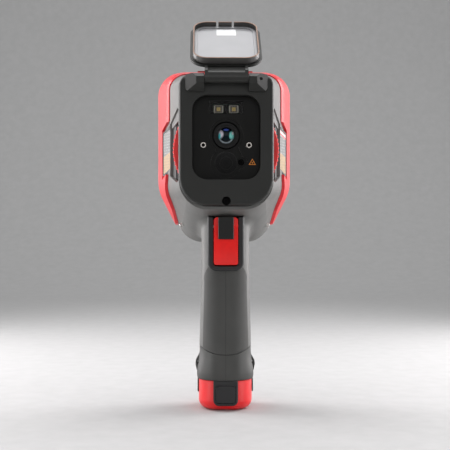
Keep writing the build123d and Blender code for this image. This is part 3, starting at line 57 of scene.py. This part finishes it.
# ---------------------------------------------------------------- node helpers
class Shader:
    """A material's node tree, with short calls for the nodes used here."""

    def __init__(self, name):
        self.material = bpy.data.materials.new(name)
        self.material.use_nodes = True
        self.tree = self.material.node_tree
        self.tree.nodes.clear()
        self.output = self.tree.nodes.new("ShaderNodeOutputMaterial")
        self.bsdf = self.tree.nodes.new("ShaderNodeBsdfPrincipled")
        self.link(self.bsdf.outputs[0], self.output.inputs["Surface"])
        self.place = self.tree.nodes.new("ShaderNodeTexCoord").outputs["Object"]

    def link(self, source, target):
        self.tree.links.new(source, target)

    def node(self, kind, inputs=None, **settings):
        made = self.tree.nodes.new(kind)
        for key, value in settings.items():
            setattr(made, key, value)
        for key, value in (inputs or {}).items():
            if isinstance(value, bpy.types.NodeSocket):
                self.link(value, made.inputs[key])
            else:
                made.inputs[key].default_value = value
        return made

    def set(self, **values):
        for key, value in values.items():
            socket = self.bsdf.inputs[key.replace("_", " ")]
            if isinstance(value, bpy.types.NodeSocket):
                self.link(value, socket)
            else:
                socket.default_value = value

    def noise(self, scale, detail=3.0, roughness=0.55, stretch=None):
        place = self.place
        if stretch:
            place = self.node("ShaderNodeMapping", {"Vector": place, "Scale": stretch}).outputs[0]
        made = self.node("ShaderNodeTexNoise", {"Vector": place, "Scale": scale, "Detail": detail,
                                                "Roughness": roughness})
        return made.outputs["Fac"]

    def cells(self, scale):
        made = self.node("ShaderNodeTexVoronoi", {"Vector": self.place, "Scale": scale})
        return made.outputs["Distance"]

    def ramp(self, fac, stops):
        made = self.node("ShaderNodeValToRGB", {"Fac": fac})
        ramp = made.color_ramp
        while len(ramp.elements) < len(stops):
            ramp.elements.new(0.5)
        for element, (position, colour) in zip(ramp.elements, stops):
            element.position = position
            element.color = (*colour, 1.0)
        return made.outputs["Color"]

    def math(self, operation, a, b=0.0, clamp=False):
        made = self.tree.nodes.new("ShaderNodeMath")
        made.operation = operation
        made.use_clamp = clamp
        for socket, value in zip(made.inputs, (a, b)):
            if isinstance(value, bpy.types.NodeSocket):
                self.link(value, socket)
            else:
                socket.default_value = value
        return made.outputs[0]

    def mix(self, fac, a, b):
        made = self.node("ShaderNodeMix", data_type="RGBA")
        for index, value in ((0, fac), (6, a), (7, b)):
            if isinstance(value, bpy.types.NodeSocket):
                self.link(value, made.inputs[index])
            elif index:
                made.inputs[index].default_value = (*value, 1.0)
            else:
                made.inputs[index].default_value = value
        return made.outputs[2]

    def axes(self):
        split = self.node("ShaderNodeSeparateXYZ", {"Vector": self.place})
        return split.outputs

    def edge_mask(self, radius):
        """1 on sharp edges, 0 on flat and gently curved faces."""
        bevel = self.node("ShaderNodeBevel", {"Radius": radius}, samples=6)
        normal = self.node("ShaderNodeNewGeometry").outputs["Normal"]
        dot = self.node("ShaderNodeVectorMath", {0: bevel.outputs[0], 1: normal}, operation="DOT_PRODUCT")
        return self.math("MULTIPLY", self.math("SUBTRACT", 1.0, dot.outputs["Value"]), 4.0, clamp=True)

    def bump(self, height, distance, strength=1.0, radius=0.0):
        made = self.node("ShaderNodeBump", {"Height": height, "Distance": distance, "Strength": strength})
        if radius:
            bevel = self.node("ShaderNodeBevel", {"Radius": radius}, samples=6)
            self.link(bevel.outputs[0], made.inputs["Normal"])
        self.link(made.outputs[0], self.bsdf.inputs["Normal"])


def moulded(name, colour, roughness, grain=1800.0, depth=0.000015, wear=0.25, edge=0.0004,
            blotch=0.12, coat=0.0, gloss=0.5, seam=None):
    """Injection-moulded plastic: spark-eroded grain, faint mottling, lighter worn edges.
    seam is a function of the shader that returns a mask, 1 inside a parting line."""
    s = Shader(name)
    mottle = s.noise(45.0, 4.0)
    light = tuple(min(1.0, c * (1.0 + blotch)) for c in colour)
    dark = tuple(c * (1.0 - blotch) for c in colour)
    base = s.ramp(mottle, [(0.30, dark), (0.70, light)])
    scuffs = s.ramp(s.noise(140.0, 6.0, 0.7), [(0.52, (0, 0, 0)), (0.66, (1, 1, 1))])
    worn = tuple(min(1.0, c * 1.6 + 0.03) for c in colour)
    mask = s.math("MULTIPLY", s.edge_mask(edge), s.math("ADD", s.math("MULTIPLY", scuffs, 0.6), 0.4))
    base = s.mix(s.math("MULTIPLY", mask, wear), base, worn)
    grain_height = s.cells(grain)
    fine = s.noise(grain * 1.7, 2.0)
    height = s.math("ADD", grain_height, s.math("MULTIPLY", fine, 0.6))
    rough = s.math("ADD", roughness - 0.06, s.math("MULTIPLY", s.noise(70.0, 5.0, 0.6), 0.12))
    if seam:
        line = seam(s)
        base = s.mix(line, base, tuple(c * 0.25 for c in colour))
        height = s.math("SUBTRACT", height, s.math("MULTIPLY", line, 6.0))
    s.set(Base_Color=base, Roughness=rough, Coat_Weight=coat, Coat_Roughness=0.3, Specular_IOR_Level=gloss)
    s.bump(height, depth, 0.6, edge)
    return s.material


def parting_line(half_width):
    """A mask for the mould parting line in the middle plane."""
    def mask(s):
        distance = s.math("ABSOLUTE", s.axes()["X"])
        return s.math("LESS_THAN", distance, half_width)
    return mask


def metal(name, colour, roughness):
    """Bare metal with fine vertical brush streaks."""
    s = Shader(name)
    streaks = s.noise(900.0, 3.0, 0.6, (1, 1, 0.05))
    base = s.ramp(streaks, [(0.3, tuple(c * 0.82 for c in colour)), (0.7, colour)])
    rough = s.math("ADD", roughness, s.math("MULTIPLY", s.noise(300.0, 4.0), 0.12))
    s.set(Base_Color=base, Metallic=1.0, Roughness=rough)
    s.bump(streaks, 0.00001, 0.4, 0.0002)
    return s.material


def gloss_black(name, colour, roughness):
    """Dark glass or glossy film with a little dust on it."""
    s = Shader(name)
    dust = s.ramp(s.noise(220.0, 8.0, 0.75), [(0.60, (0, 0, 0)), (0.78, (1, 1, 1))])
    base = s.mix(s.math("MULTIPLY", dust, 0.05), colour, (0.35, 0.35, 0.36))
    s.set(Base_Color=base, Roughness=s.math("ADD", roughness, s.math("MULTIPLY", dust, 0.15)),
          Coat_Weight=0.6, Coat_Roughness=0.03)
    s.bump(s.noise(35.0, 2.0), 0.00002, 0.2)
    return s.material


def painted_reflection_lens(name):
    """Germanium front lens: near-black, with cyan and rose patches and a pale arc low down that are painted
    reflections, fixed on the lens surface.
    """
    s = Shader(name)
    low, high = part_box("ir_lens")
    axes = s.axes()
    u = s.math("DIVIDE", axes["X"], LENS_RADIUS)
    v = s.math("DIVIDE", s.math("SUBTRACT", axes["Z"], (low.z + high.z) / 2), LENS_RADIUS)
    radius = s.math("SQRT", s.math("ADD", s.math("MULTIPLY", u, u), s.math("MULTIPLY", v, v)))
    ripple = s.math("MULTIPLY", s.math("SUBTRACT", s.noise(420.0, 2.0), 0.5), 0.5)

    def patch(cx, cy, width, height):
        """Soft ellipse, 1 in the middle and 0 outside."""
        a = s.math("DIVIDE", s.math("SUBTRACT", u, cx), width)
        b = s.math("DIVIDE", s.math("SUBTRACT", v, cy), height)
        reach = s.math("ADD", s.math("MULTIPLY", a, a), s.math("MULTIPLY", b, b))
        return s.math("SUBTRACT", 1.3, s.math("ADD", reach, ripple), clamp=True)

    colour = s.mix(s.math("SUBTRACT", 1.0, radius, clamp=True), (0.002, 0.006, 0.008), (0.004, 0.012, 0.018))
    # Painted reflections: each patch below is a reflection of the studio lamps painted into the lens colour.
    colour = s.mix(patch(-0.62, 0.18, 0.30, 0.50), colour, (0.85, 0.80, 0.92))
    colour = s.mix(patch(-0.78, -0.05, 0.16, 0.42), colour, (0.10, 0.70, 0.75))
    colour = s.mix(patch(0.66, 0.02, 0.30, 0.52), colour, (0.28, 0.85, 0.78))
    colour = s.mix(patch(0.80, 0.30, 0.14, 0.22), colour, (0.90, 0.95, 0.98))
    colour = s.mix(patch(0.0, 0.72, 0.36, 0.15), colour, (0.06, 0.10, 0.42))
    # Pale arc on the lower part of the rim: a painted reflection.
    off_reflection_arc = s.math("ABSOLUTE", s.math("SUBTRACT", radius, 0.84))
    arc = s.math("SUBTRACT", 1.0, s.math("MULTIPLY", off_reflection_arc, 8.0), clamp=True)
    low_part = s.math("MULTIPLY", s.math("SUBTRACT", -0.25, v), 3.0, clamp=True)
    colour = s.mix(s.math("MULTIPLY", arc, low_part), colour, (0.80, 0.92, 1.0))
    s.set(Base_Color=colour, Roughness=s.math("ADD", 0.03, s.math("MULTIPLY", ripple, 0.02)),
          Specular_IOR_Level=0.12)
    return s.material


def camera_glass(name):
    """Dark round window with a printed black border; the small lens behind shows as faint rings."""
    s = Shader(name)
    low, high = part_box("visible_window")
    axes = s.axes()
    dz = s.math("SUBTRACT", axes["Z"], (low.z + high.z) / 2)
    square = s.math("ADD", s.math("MULTIPLY", axes["X"], axes["X"]), s.math("MULTIPLY", dz, dz))
    share = s.math("DIVIDE", s.math("SQRT", square), high.x, clamp=True)
    rings = s.ramp(share, [(0.0, (0.001, 0.001, 0.001)), (0.30, (0.0015, 0.0015, 0.0018)),
                           (0.34, (0.007, 0.007, 0.007)), (0.38, (0.002, 0.002, 0.002)),
                           (0.52, (0.003, 0.003, 0.003)), (0.55, (0.012, 0.012, 0.011)),
                           (0.60, (0.004, 0.004, 0.004)), (0.93, (0.004, 0.004, 0.004)),
                           (0.97, (0.020, 0.020, 0.019))])
    smear = s.noise(90.0, 4.0)
    s.set(Base_Color=rings, Roughness=s.math("ADD", 0.10, s.math("MULTIPLY", smear, 0.10)),
          Specular_IOR_Level=0.25)
    s.bump(smear, 0.00001, 0.3, 0.0004)
    return s.material


def clear_window(name):
    """Thin dark-tinted window that lets the lamps behind it show."""
    s = Shader(name)
    smear = s.noise(60.0, 5.0)
    tint = s.ramp(smear, [(0.3, (0.004, 0.004, 0.004)), (0.7, (0.010, 0.010, 0.010))])
    s.set(Base_Color=tint, Roughness=s.math("ADD", 0.05, s.math("MULTIPLY", smear, 0.08)),
          Alpha=s.math("ADD", 0.16, s.math("MULTIPLY", smear, 0.12)), Specular_IOR_Level=0.3)
    s.bump(smear, 0.00001, 0.3, 0.0003)
    return s.material


def led_package(name):
    """Lamp package: dim body, pale rim, yellow phosphor square in the middle."""
    s = Shader(name)
    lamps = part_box("led_lamps")
    middle_z = (lamps[0].z + lamps[1].z) / 2
    pitch = lamps[1].x - LAMP_HALF
    axes = s.axes()
    dx = s.math("ABSOLUTE", s.math("SUBTRACT", s.math("ABSOLUTE", axes["X"]), pitch))
    dz = s.math("SUBTRACT", axes["Z"], middle_z)
    square = s.math("MAXIMUM", dx, s.math("ABSOLUTE", dz))
    low = s.math("MULTIPLY", dz, -60.0, clamp=True)
    speck = s.noise(2500.0, 3.0)
    colour = s.ramp(s.math("MULTIPLY", square, 280.0),
                    [(0.0, (0.95, 0.58, 0.04)), (0.36, (1.0, 0.74, 0.16)), (0.46, (0.04, 0.037, 0.02)),
                     (0.70, (0.06, 0.055, 0.035)), (0.86, (0.60, 0.58, 0.46))])
    colour = s.mix(s.math("MULTIPLY", low, 0.5), colour, (0.50, 0.46, 0.30))
    grit = s.ramp(speck, [(0.3, (0.10, 0.07, 0.01)), (0.7, (0.55, 0.5, 0.4))])
    s.set(Base_Color=s.mix(0.25, colour, grit), Roughness=0.22, Coat_Weight=0.6)
    s.bump(speck, 0.00002, 0.4)
    return s.material


def lip_plastic(name):
    """Dark cover rim with a bare brown top edge, where the moulding is thin."""
    s = Shader(name)
    axes = s.axes()
    back = s.math("MULTIPLY", s.math("SUBTRACT", axes["Y"], HINGE_Y), -math.sin(COVER_TILT))
    up = s.math("MULTIPLY", s.math("SUBTRACT", axes["Z"], HINGE_Z), math.cos(COVER_TILT))
    rim = s.math("GREATER_THAN", s.math("ADD", back, up), LIP_BARE)
    grain = s.cells(2200.0)
    base = s.ramp(s.noise(60.0, 4.0), [(0.3, (0.050, 0.048, 0.046)), (0.7, (0.066, 0.063, 0.060))])
    bare = s.ramp(s.noise(90.0, 3.0), [(0.3, (0.16, 0.075, 0.040)), (0.7, (0.27, 0.14, 0.08))])
    base = s.mix(rim, base, bare)
    s.set(Base_Color=base, Roughness=s.math("ADD", 0.34, s.math("MULTIPLY", s.noise(80.0), 0.1)))
    s.bump(grain, 0.00002, 0.5, 0.0003)
    return s.material


def socket_steel(name, anchors, axis_radius):
    """Bright screw head whose socket, this close to its own axis, is painted dark and rough as shade."""
    s = Shader(name)
    axes = s.axes()
    nearest = None
    for x, z in anchors:
        dx = s.math("SUBTRACT", axes["X"], x)
        dz = s.math("SUBTRACT", axes["Z"], z)
        square = s.math("ADD", s.math("MULTIPLY", dx, dx), s.math("MULTIPLY", dz, dz))
        radius = s.math("SQRT", square)
        nearest = radius if nearest is None else s.math("MINIMUM", nearest, radius)
    # Dark disc round each screw's axis: painted shade standing for the socket recess.
    painted_socket_shade = s.math("LESS_THAN", nearest, axis_radius)
    streaks = s.noise(2400.0, 3.0)
    base = s.ramp(streaks, [(0.3, (0.50, 0.47, 0.44)), (0.7, (0.66, 0.62, 0.58))])
    s.set(Base_Color=s.mix(painted_socket_shade, base, (0.015, 0.014, 0.013)), Metallic=1.0,
          Roughness=s.math("ADD", 0.20, s.math("MULTIPLY", painted_socket_shade, 0.5)))
    s.bump(streaks, 0.00001, 0.4, 0.0003)
    return s.material


def circuit_board(name):
    """Green board with a fine pattern of traces."""
    s = Shader(name)
    traces = s.node("ShaderNodeTexBrick", {
        "Vector": s.place, "Scale": 400.0, "Color1": (0.01, 0.12, 0.05, 1),
        "Color2": (0.01, 0.16, 0.07, 1), "Mortar": (0.02, 0.24, 0.10, 1)})
    s.set(Base_Color=traces.outputs["Color"], Roughness=0.35, Coat_Weight=0.5)
    s.bump(traces.outputs["Fac"], 0.00003, 0.5)
    return s.material


def label_film(name, side):
    """Flank label: grey printed upper part with fine lines, warm yellow lower part."""
    s = Shader(name)
    low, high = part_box("left_label" if side < 0 else "right_label")
    axes = s.axes()
    height = s.math("DIVIDE", s.math("SUBTRACT", axes["Z"], low.z), high.z - low.z)
    tilt = s.math("MULTIPLY", s.math("SUBTRACT", axes["Y"], low.y), 6.0)
    level = s.math("ADD", height, tilt)
    rows = s.math("FRACT", s.math("MULTIPLY", axes["Z"], 420.0))
    dashes = s.math("GREATER_THAN", s.noise(900.0, 1.0, 0.5, (1, 1, 0.4)), 0.5)
    lines = s.math("MULTIPLY", s.math("LESS_THAN", rows, 0.35), dashes)
    upper = s.mix(s.math("MULTIPLY", lines, 0.7), (0.085, 0.085, 0.08), (0.24, 0.24, 0.225))
    lower = s.mix(s.math("MULTIPLY", lines, 0.5), (0.33, 0.18, 0.042), (0.13, 0.08, 0.025))
    colour = s.mix(s.math("GREATER_THAN", level, 0.50), lower, upper)
    band = s.math("GREATER_THAN", level, 0.90)
    if side > 0:
        stripe = s.math("GREATER_THAN", s.math("FRACT", s.math("MULTIPLY", level, 9.0)), 0.5)
        colour = s.mix(band, colour, (0.50, 0.02, 0.02))
        colour = s.mix(s.math("MULTIPLY", band, stripe), colour, (0.60, 0.59, 0.57))
    s.set(Base_Color=colour, Roughness=s.math("ADD", 0.32, s.math("MULTIPLY", s.noise(120.0), 0.12)),
          Coat_Weight=0.3)
    s.bump(s.noise(1500.0), 0.00001, 0.3, 0.0002)
    return s.material


def plain_film(name, colour):
    """Blank paper sticker."""
    s = Shader(name)
    fibre = s.noise(700.0, 5.0)
    s.set(Base_Color=s.ramp(fibre, [(0.3, tuple(c * 0.94 for c in colour)), (0.7, colour)]),
          Roughness=s.math("ADD", 0.40, s.math("MULTIPLY", fibre, 0.15)))
    s.bump(fibre, 0.00001, 0.4, 0.0002)
    return s.material


# ---------------------------------------------------------------- finishes for the CAD nodes
RED = (0.68, 0.008, 0.016)
finishes = {
    "grey_shell": moulded("grey_shell", (0.115, 0.115, 0.110), 0.50),
    "dark_plastic": moulded("dark_plastic", (0.014, 0.0145, 0.013), 0.52, gloss=0.4),
    "black_plastic": moulded("black_plastic", (0.012, 0.012, 0.013), 0.42),
    "black_panel": moulded("black_panel", (0.0035, 0.0035, 0.0030), 0.50, grain=2600.0, depth=0.00002,
                           wear=1.0, edge=0.0006, gloss=0.22),
    "grip_rubber": moulded("seamed_rubber", (0.050, 0.050, 0.047), 0.62, grain=1500.0, depth=0.00006,
                           wear=0.12, seam=parting_line(GRIP_SEAM)),
    "red_rubber": moulded("red_rubber", RED, 0.42, grain=1600.0, wear=0.12, coat=0.15),
    "red_plastic": moulded("red_plastic", (0.76, 0.009, 0.012), 0.36, wear=0.2, coat=0.15),
    "clear_window": clear_window("clear_window"),
    "ir_glass": painted_reflection_lens("ir_glass"),
    "screen_glass": gloss_black("screen_glass", (0.008, 0.009, 0.012), 0.05),
    "display_panel": gloss_black("display_panel", (0.012, 0.014, 0.020), 0.2),
    "circuit_board": circuit_board("circuit_board"),
    "led_package": led_package("led_package"),
    "steel": metal("steel", (0.62, 0.60, 0.58), 0.22),
    "aluminium": metal("aluminium", (0.72, 0.72, 0.74), 0.30),
    "anodised": moulded("anodised", (0.010, 0.010, 0.012), 0.30, grain=3000.0, depth=0.00001, wear=0.4,
                        edge=0.0002),
    "acetal": moulded("acetal", (0.72, 0.72, 0.68), 0.40),
    "pale_liner": moulded("pale_liner", (0.36, 0.36, 0.375), 0.42, grain=2200.0, wear=0.15, blotch=0.04),
    "white_film": plain_film("white_film", (0.86, 0.86, 0.87)),
    "cell_wrap": moulded("cell_wrap", (0.05, 0.22, 0.12), 0.30, coat=0.5),
    "gold": metal("gold", (0.90, 0.68, 0.28), 0.18),
    "key_rubber": moulded("key_rubber", (0.035, 0.035, 0.036), 0.55, grain=2000.0),
}
screw_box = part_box("panel_screws")
screw_x = screw_box[1].x - SCREW_HEAD
screw_z = (screw_box[0].z + screw_box[1].z) / 2
screw_axes = ((-screw_x, screw_z), (screw_x, screw_z))
# nodes whose finish is their own rather than their slot's
special = {
    "left_label": label_film("left_label_film", -1),
    "right_label": label_film("right_label_film", 1),
    "handle_collar": moulded("collar_plastic", (0.047, 0.047, 0.044), 0.52, seam=parting_line(COLLAR_SEAM)),
    "cover_lip": lip_plastic("lip_plastic"),
    "panel_screws": socket_steel("panel_screw_steel", screw_axes, SCREW_SOCKET),
    "laser_module": moulded("laser_sleeve", (0.0015, 0.0015, 0.0015), 0.60, wear=0.3, gloss=0.08),
    "trigger_pad": moulded("pad_plastic", (0.007, 0.007, 0.0065), 0.50, gloss=0.35),
    "trigger": moulded("trigger_red", (0.86, 0.008, 0.006), 0.38, wear=0.15, gloss=0.35),
    "visible_window": camera_glass("camera_window"),
    "lens_cell": moulded("lens_tube", (0.004, 0.004, 0.004), 0.45, grain=3000.0, depth=0.00001, wear=1.0,
                         edge=0.0005, gloss=0.25),
    # Near-black: partly the screw's own dark colour, partly painted shade of the hole it sits in.
    "chin_screw": moulded("chin_screw_black_and_painted_shade", (0.002, 0.002, 0.002), 0.55, wear=0.2, gloss=0.1),
    "hinge_pin": metal("black_screw", (0.06, 0.06, 0.06), 0.35),
}
slots = {entry["node"]: entry["material_slot"] for entry in frame["record"]["subparts"]}
for name, cad_object in frame["nodes"].items():
    finish = special[name] if name in special else finishes[slots[name]]
    cad_object.data.materials.clear()
    cad_object.data.materials.append(finish)


# ---------------------------------------------------------------- printed marks
def printed(name, outlines, plane_y, facing, material, body, holes=()):
    """Thin raised print on a wall that faces -Y (facing -1) or +Y (facing 1).
    outlines are closed loops of (x, z) in metres; holes are loops cut out of the first outline."""
    curve = bpy.data.curves.new(name, "CURVE")
    curve.dimensions = "2D"
    curve.fill_mode = "BOTH"
    curve.extrude = PRINT_HEIGHT
    for loop in list(outlines) + list(holes):
        spline = curve.splines.new("POLY")
        spline.points.add(len(loop) - 1)
        for point, (x, z) in zip(spline.points, loop):
            point.co = (x, z, 0, 1)
        spline.use_cyclic_u = True
    made = bpy.data.objects.new(name, curve)
    bpy.context.scene.collection.objects.link(made)
    made.location = (0, plane_y + facing * PRINT_HEIGHT * 0.5, 0)
    made.rotation_euler = (math.radians(90), 0, 0)
    curve.materials.append(material)
    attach(made, body)


def loop_of(x, z, radius, count, turn=0.0):
    """A regular loop of points round a centre."""
    return [(x + radius * math.cos(turn + 2 * math.pi * k / count),
             z + radius * math.sin(turn + 2 * math.pi * k / count)) for k in range(count)]


def bar(x0, z0, x1, z1, width):
    """A straight stroke as a closed loop."""
    along = Vector((x1 - x0, z1 - z0)).normalized() * width / 2
    side = Vector((-along.y, along.x))
    return [(x0 + side.x, z0 + side.y), (x1 + side.x, z1 + side.y),
            (x1 - side.x, z1 - side.y), (x0 - side.x, z0 - side.y)]


def ink(name, colour):
    """Matt printing ink with a slightly uneven tone."""
    s = Shader(name)
    patch = s.noise(1800.0, 4.0)
    s.set(Base_Color=s.ramp(patch, [(0.25, tuple(c * 0.7 for c in colour)), (0.6, colour)]), Roughness=0.45)
    s.bump(patch, 0.00001, 0.3)
    return s.material


orange_ink = ink("orange_ink", (0.75, 0.24, 0.015))
white_ink = ink("white_ink", (0.62, 0.62, 0.60))
MARK_X, MARK_Z = 0.0206, 0.1992
printed("laser_triangle", [loop_of(MARK_X, MARK_Z, 0.0034, 3, math.pi / 2)], PANEL_Y, -1, orange_ink,
        "chassis", holes=[loop_of(MARK_X, MARK_Z, 0.0022, 3, math.pi / 2)])
printed("laser_dot", [loop_of(MARK_X, MARK_Z - 0.0001, 0.0006, 16)], PANEL_Y, -1, orange_ink, "chassis")

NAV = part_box("navigation_ring")
NAV_Z = (NAV[0].z + NAV[1].z) / 2
ARROW_REACH = 0.0107                            # key centre to an arrow's middle
for tag, turn in (("right", 0.0), ("up", 90.0), ("left", 180.0), ("down", 270.0)):
    angle = math.radians(turn)
    arrow = loop_of(ARROW_REACH * math.cos(angle), NAV_Z + ARROW_REACH * math.sin(angle), 0.0013, 3, angle)
    printed("arrow_" + tag, [arrow], NAV[1].y, 1, white_ink, "navigation_ring")
printed("ok_mark", [loop_of(0, NAV_Z, 0.0016, 24)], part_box("ok_key")[1].y, 1, white_ink, "ok_key",
        holes=[loop_of(0, NAV_Z, 0.0011, 24)])
BACK_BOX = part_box("back_key")
BACK_X = (BACK_BOX[0].x + BACK_BOX[1].x) / 2
SIDE_Z = (BACK_BOX[0].z + BACK_BOX[1].z) / 2
printed("back_mark", [bar(BACK_X - 0.0016, SIDE_Z, BACK_X + 0.0018, SIDE_Z, 0.0005),
                      loop_of(BACK_X + 0.0013, SIDE_Z, 0.0012, 3)],
        BACK_BOX[1].y, 1, white_ink, "back_key")
printed("play_mark", [loop_of(-BACK_X, SIDE_Z, 0.0018, 3, math.pi)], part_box("play_key")[1].y, 1, white_ink,
        "play_key")
POWER_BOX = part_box("power_key")
POWER_Z = (POWER_BOX[0].z + POWER_BOX[1].z) / 2
arc = [(0.0017 * math.cos(a), POWER_Z + 0.0017 * math.sin(a)) for a in
       [math.radians(125 + 290 * k / 24) for k in range(25)]]
arc += [(0.0012 * math.cos(a), POWER_Z + 0.0012 * math.sin(a)) for a in
        [math.radians(415 - 290 * k / 24) for k in range(25)]]
printed("power_mark", [arc, bar(0, POWER_Z + 0.0004, 0, POWER_Z + 0.0021, 0.0005)], POWER_BOX[1].y, 1,
        ink("power_ink", (0.70, 0.04, 0.03)), "power_key")


# ---------------------------------------------------------------- floor, lights, camera
def build_floor():
    """Pale studio sweep: a floor that curves up into a wall behind the object."""
    mesh = bmesh.new()
    half, front, turn, radius, top = 8.0, -8.0, 1.2, 0.8, 4.0
    profile = [(front, 0.0), (turn, 0.0)]
    for step in range(1, 17):
        angle = math.pi / 2 * step / 16
        profile.append((turn + radius * math.sin(angle), radius * (1 - math.cos(angle))))
    profile.append((turn + radius, top))
    rows = [[mesh.verts.new((x, y, z)) for x in (-half, half)] for y, z in profile]
    for near, far in zip(rows, rows[1:]):
        mesh.faces.new((near[0], near[1], far[1], far[0]))
    data = bpy.data.meshes.new("floor")
    mesh.to_mesh(data)
    mesh.free()
    floor = bpy.data.objects.new("floor", data)
    bpy.context.scene.collection.objects.link(floor)
    for polygon in data.polygons:
        polygon.use_smooth = True
    s = Shader("floor_paper")
    fibre = s.noise(60.0, 6.0)
    s.set(Base_Color=s.ramp(fibre, [(0.3, (0.37, 0.37, 0.37)), (0.7, (0.40, 0.40, 0.40))]), Roughness=0.75)
    s.bump(fibre, 0.0001, 0.1)
    data.materials.append(s.material)


def area_light(name, place, target, size, power, colour=(1, 1, 1)):
    data = bpy.data.lights.new(name, "AREA")
    data.shape = "RECTANGLE"
    data.size, data.size_y = size
    data.energy = power
    data.color = colour
    light = bpy.data.objects.new(name, data)
    bpy.context.scene.collection.objects.link(light)
    light.location = place
    light.rotation_euler = (Vector(target) - Vector(place)).to_track_quat("-Z", "Y").to_euler()


build_floor()
area_light("top_soft", (0.0, -0.05, 1.1), (0, 0, 0.2), (0.9, 0.7), 6.5)
area_light("left_strip", (-0.60, 0.30, 0.37), (0, 0, 0.17), (0.5, 0.66), 7.2, (1.0, 0.97, 0.98))
area_light("right_strip", (0.60, 0.30, 0.37), (0, 0, 0.17), (0.5, 0.66), 7.2, (1.0, 0.97, 0.98))
area_light("front_fill", (0.0, -1.6, 0.75), (0, 0, 0.18), (1.4, 0.8), 4.4)
area_light("left_low", (-0.40, -0.20, 0.06), (0, 0, 0.06), (0.12, 0.20), 0.7)
area_light("right_low", (0.40, -0.20, 0.06), (0, 0, 0.06), (0.12, 0.20), 0.7)
area_light("wall_wash", (0.0, 0.6, 2.2), (0, 2.0, 0.3), (2.4, 0.6), 32.0)

world = bpy.data.worlds.new("studio")
world.use_nodes = True
world.node_tree.nodes["Background"].inputs["Color"].default_value = (0.9, 0.9, 0.92, 1.0)
world.node_tree.nodes["Background"].inputs["Strength"].default_value = 0.22
bpy.context.scene.world = world

bpy.context.scene.view_settings.view_transform = "Standard"

EYE_DISTANCE = 0.800      # eye to the front face
EYE_HEIGHT = 0.1501
EYE_SIDE = -0.018
EYE_TURN = math.radians(-1.21)
FOCAL_PIXELS = 1025.0     # focal length for a picture 450 pixels wide
camera_data = bpy.data.cameras.new("camera")
camera_data.sensor_width = 36.0
camera_data.lens = 36.0 * FOCAL_PIXELS / 450.0
camera_data.clip_start = 0.05
camera = bpy.data.objects.new("camera", camera_data)
bpy.context.scene.collection.objects.link(camera)
camera.location = (EYE_SIDE, FRONT_Y - EYE_DISTANCE, EYE_HEIGHT)
camera.rotation_euler = (math.radians(90), 0, EYE_TURN)
bpy.context.scene.camera = camera
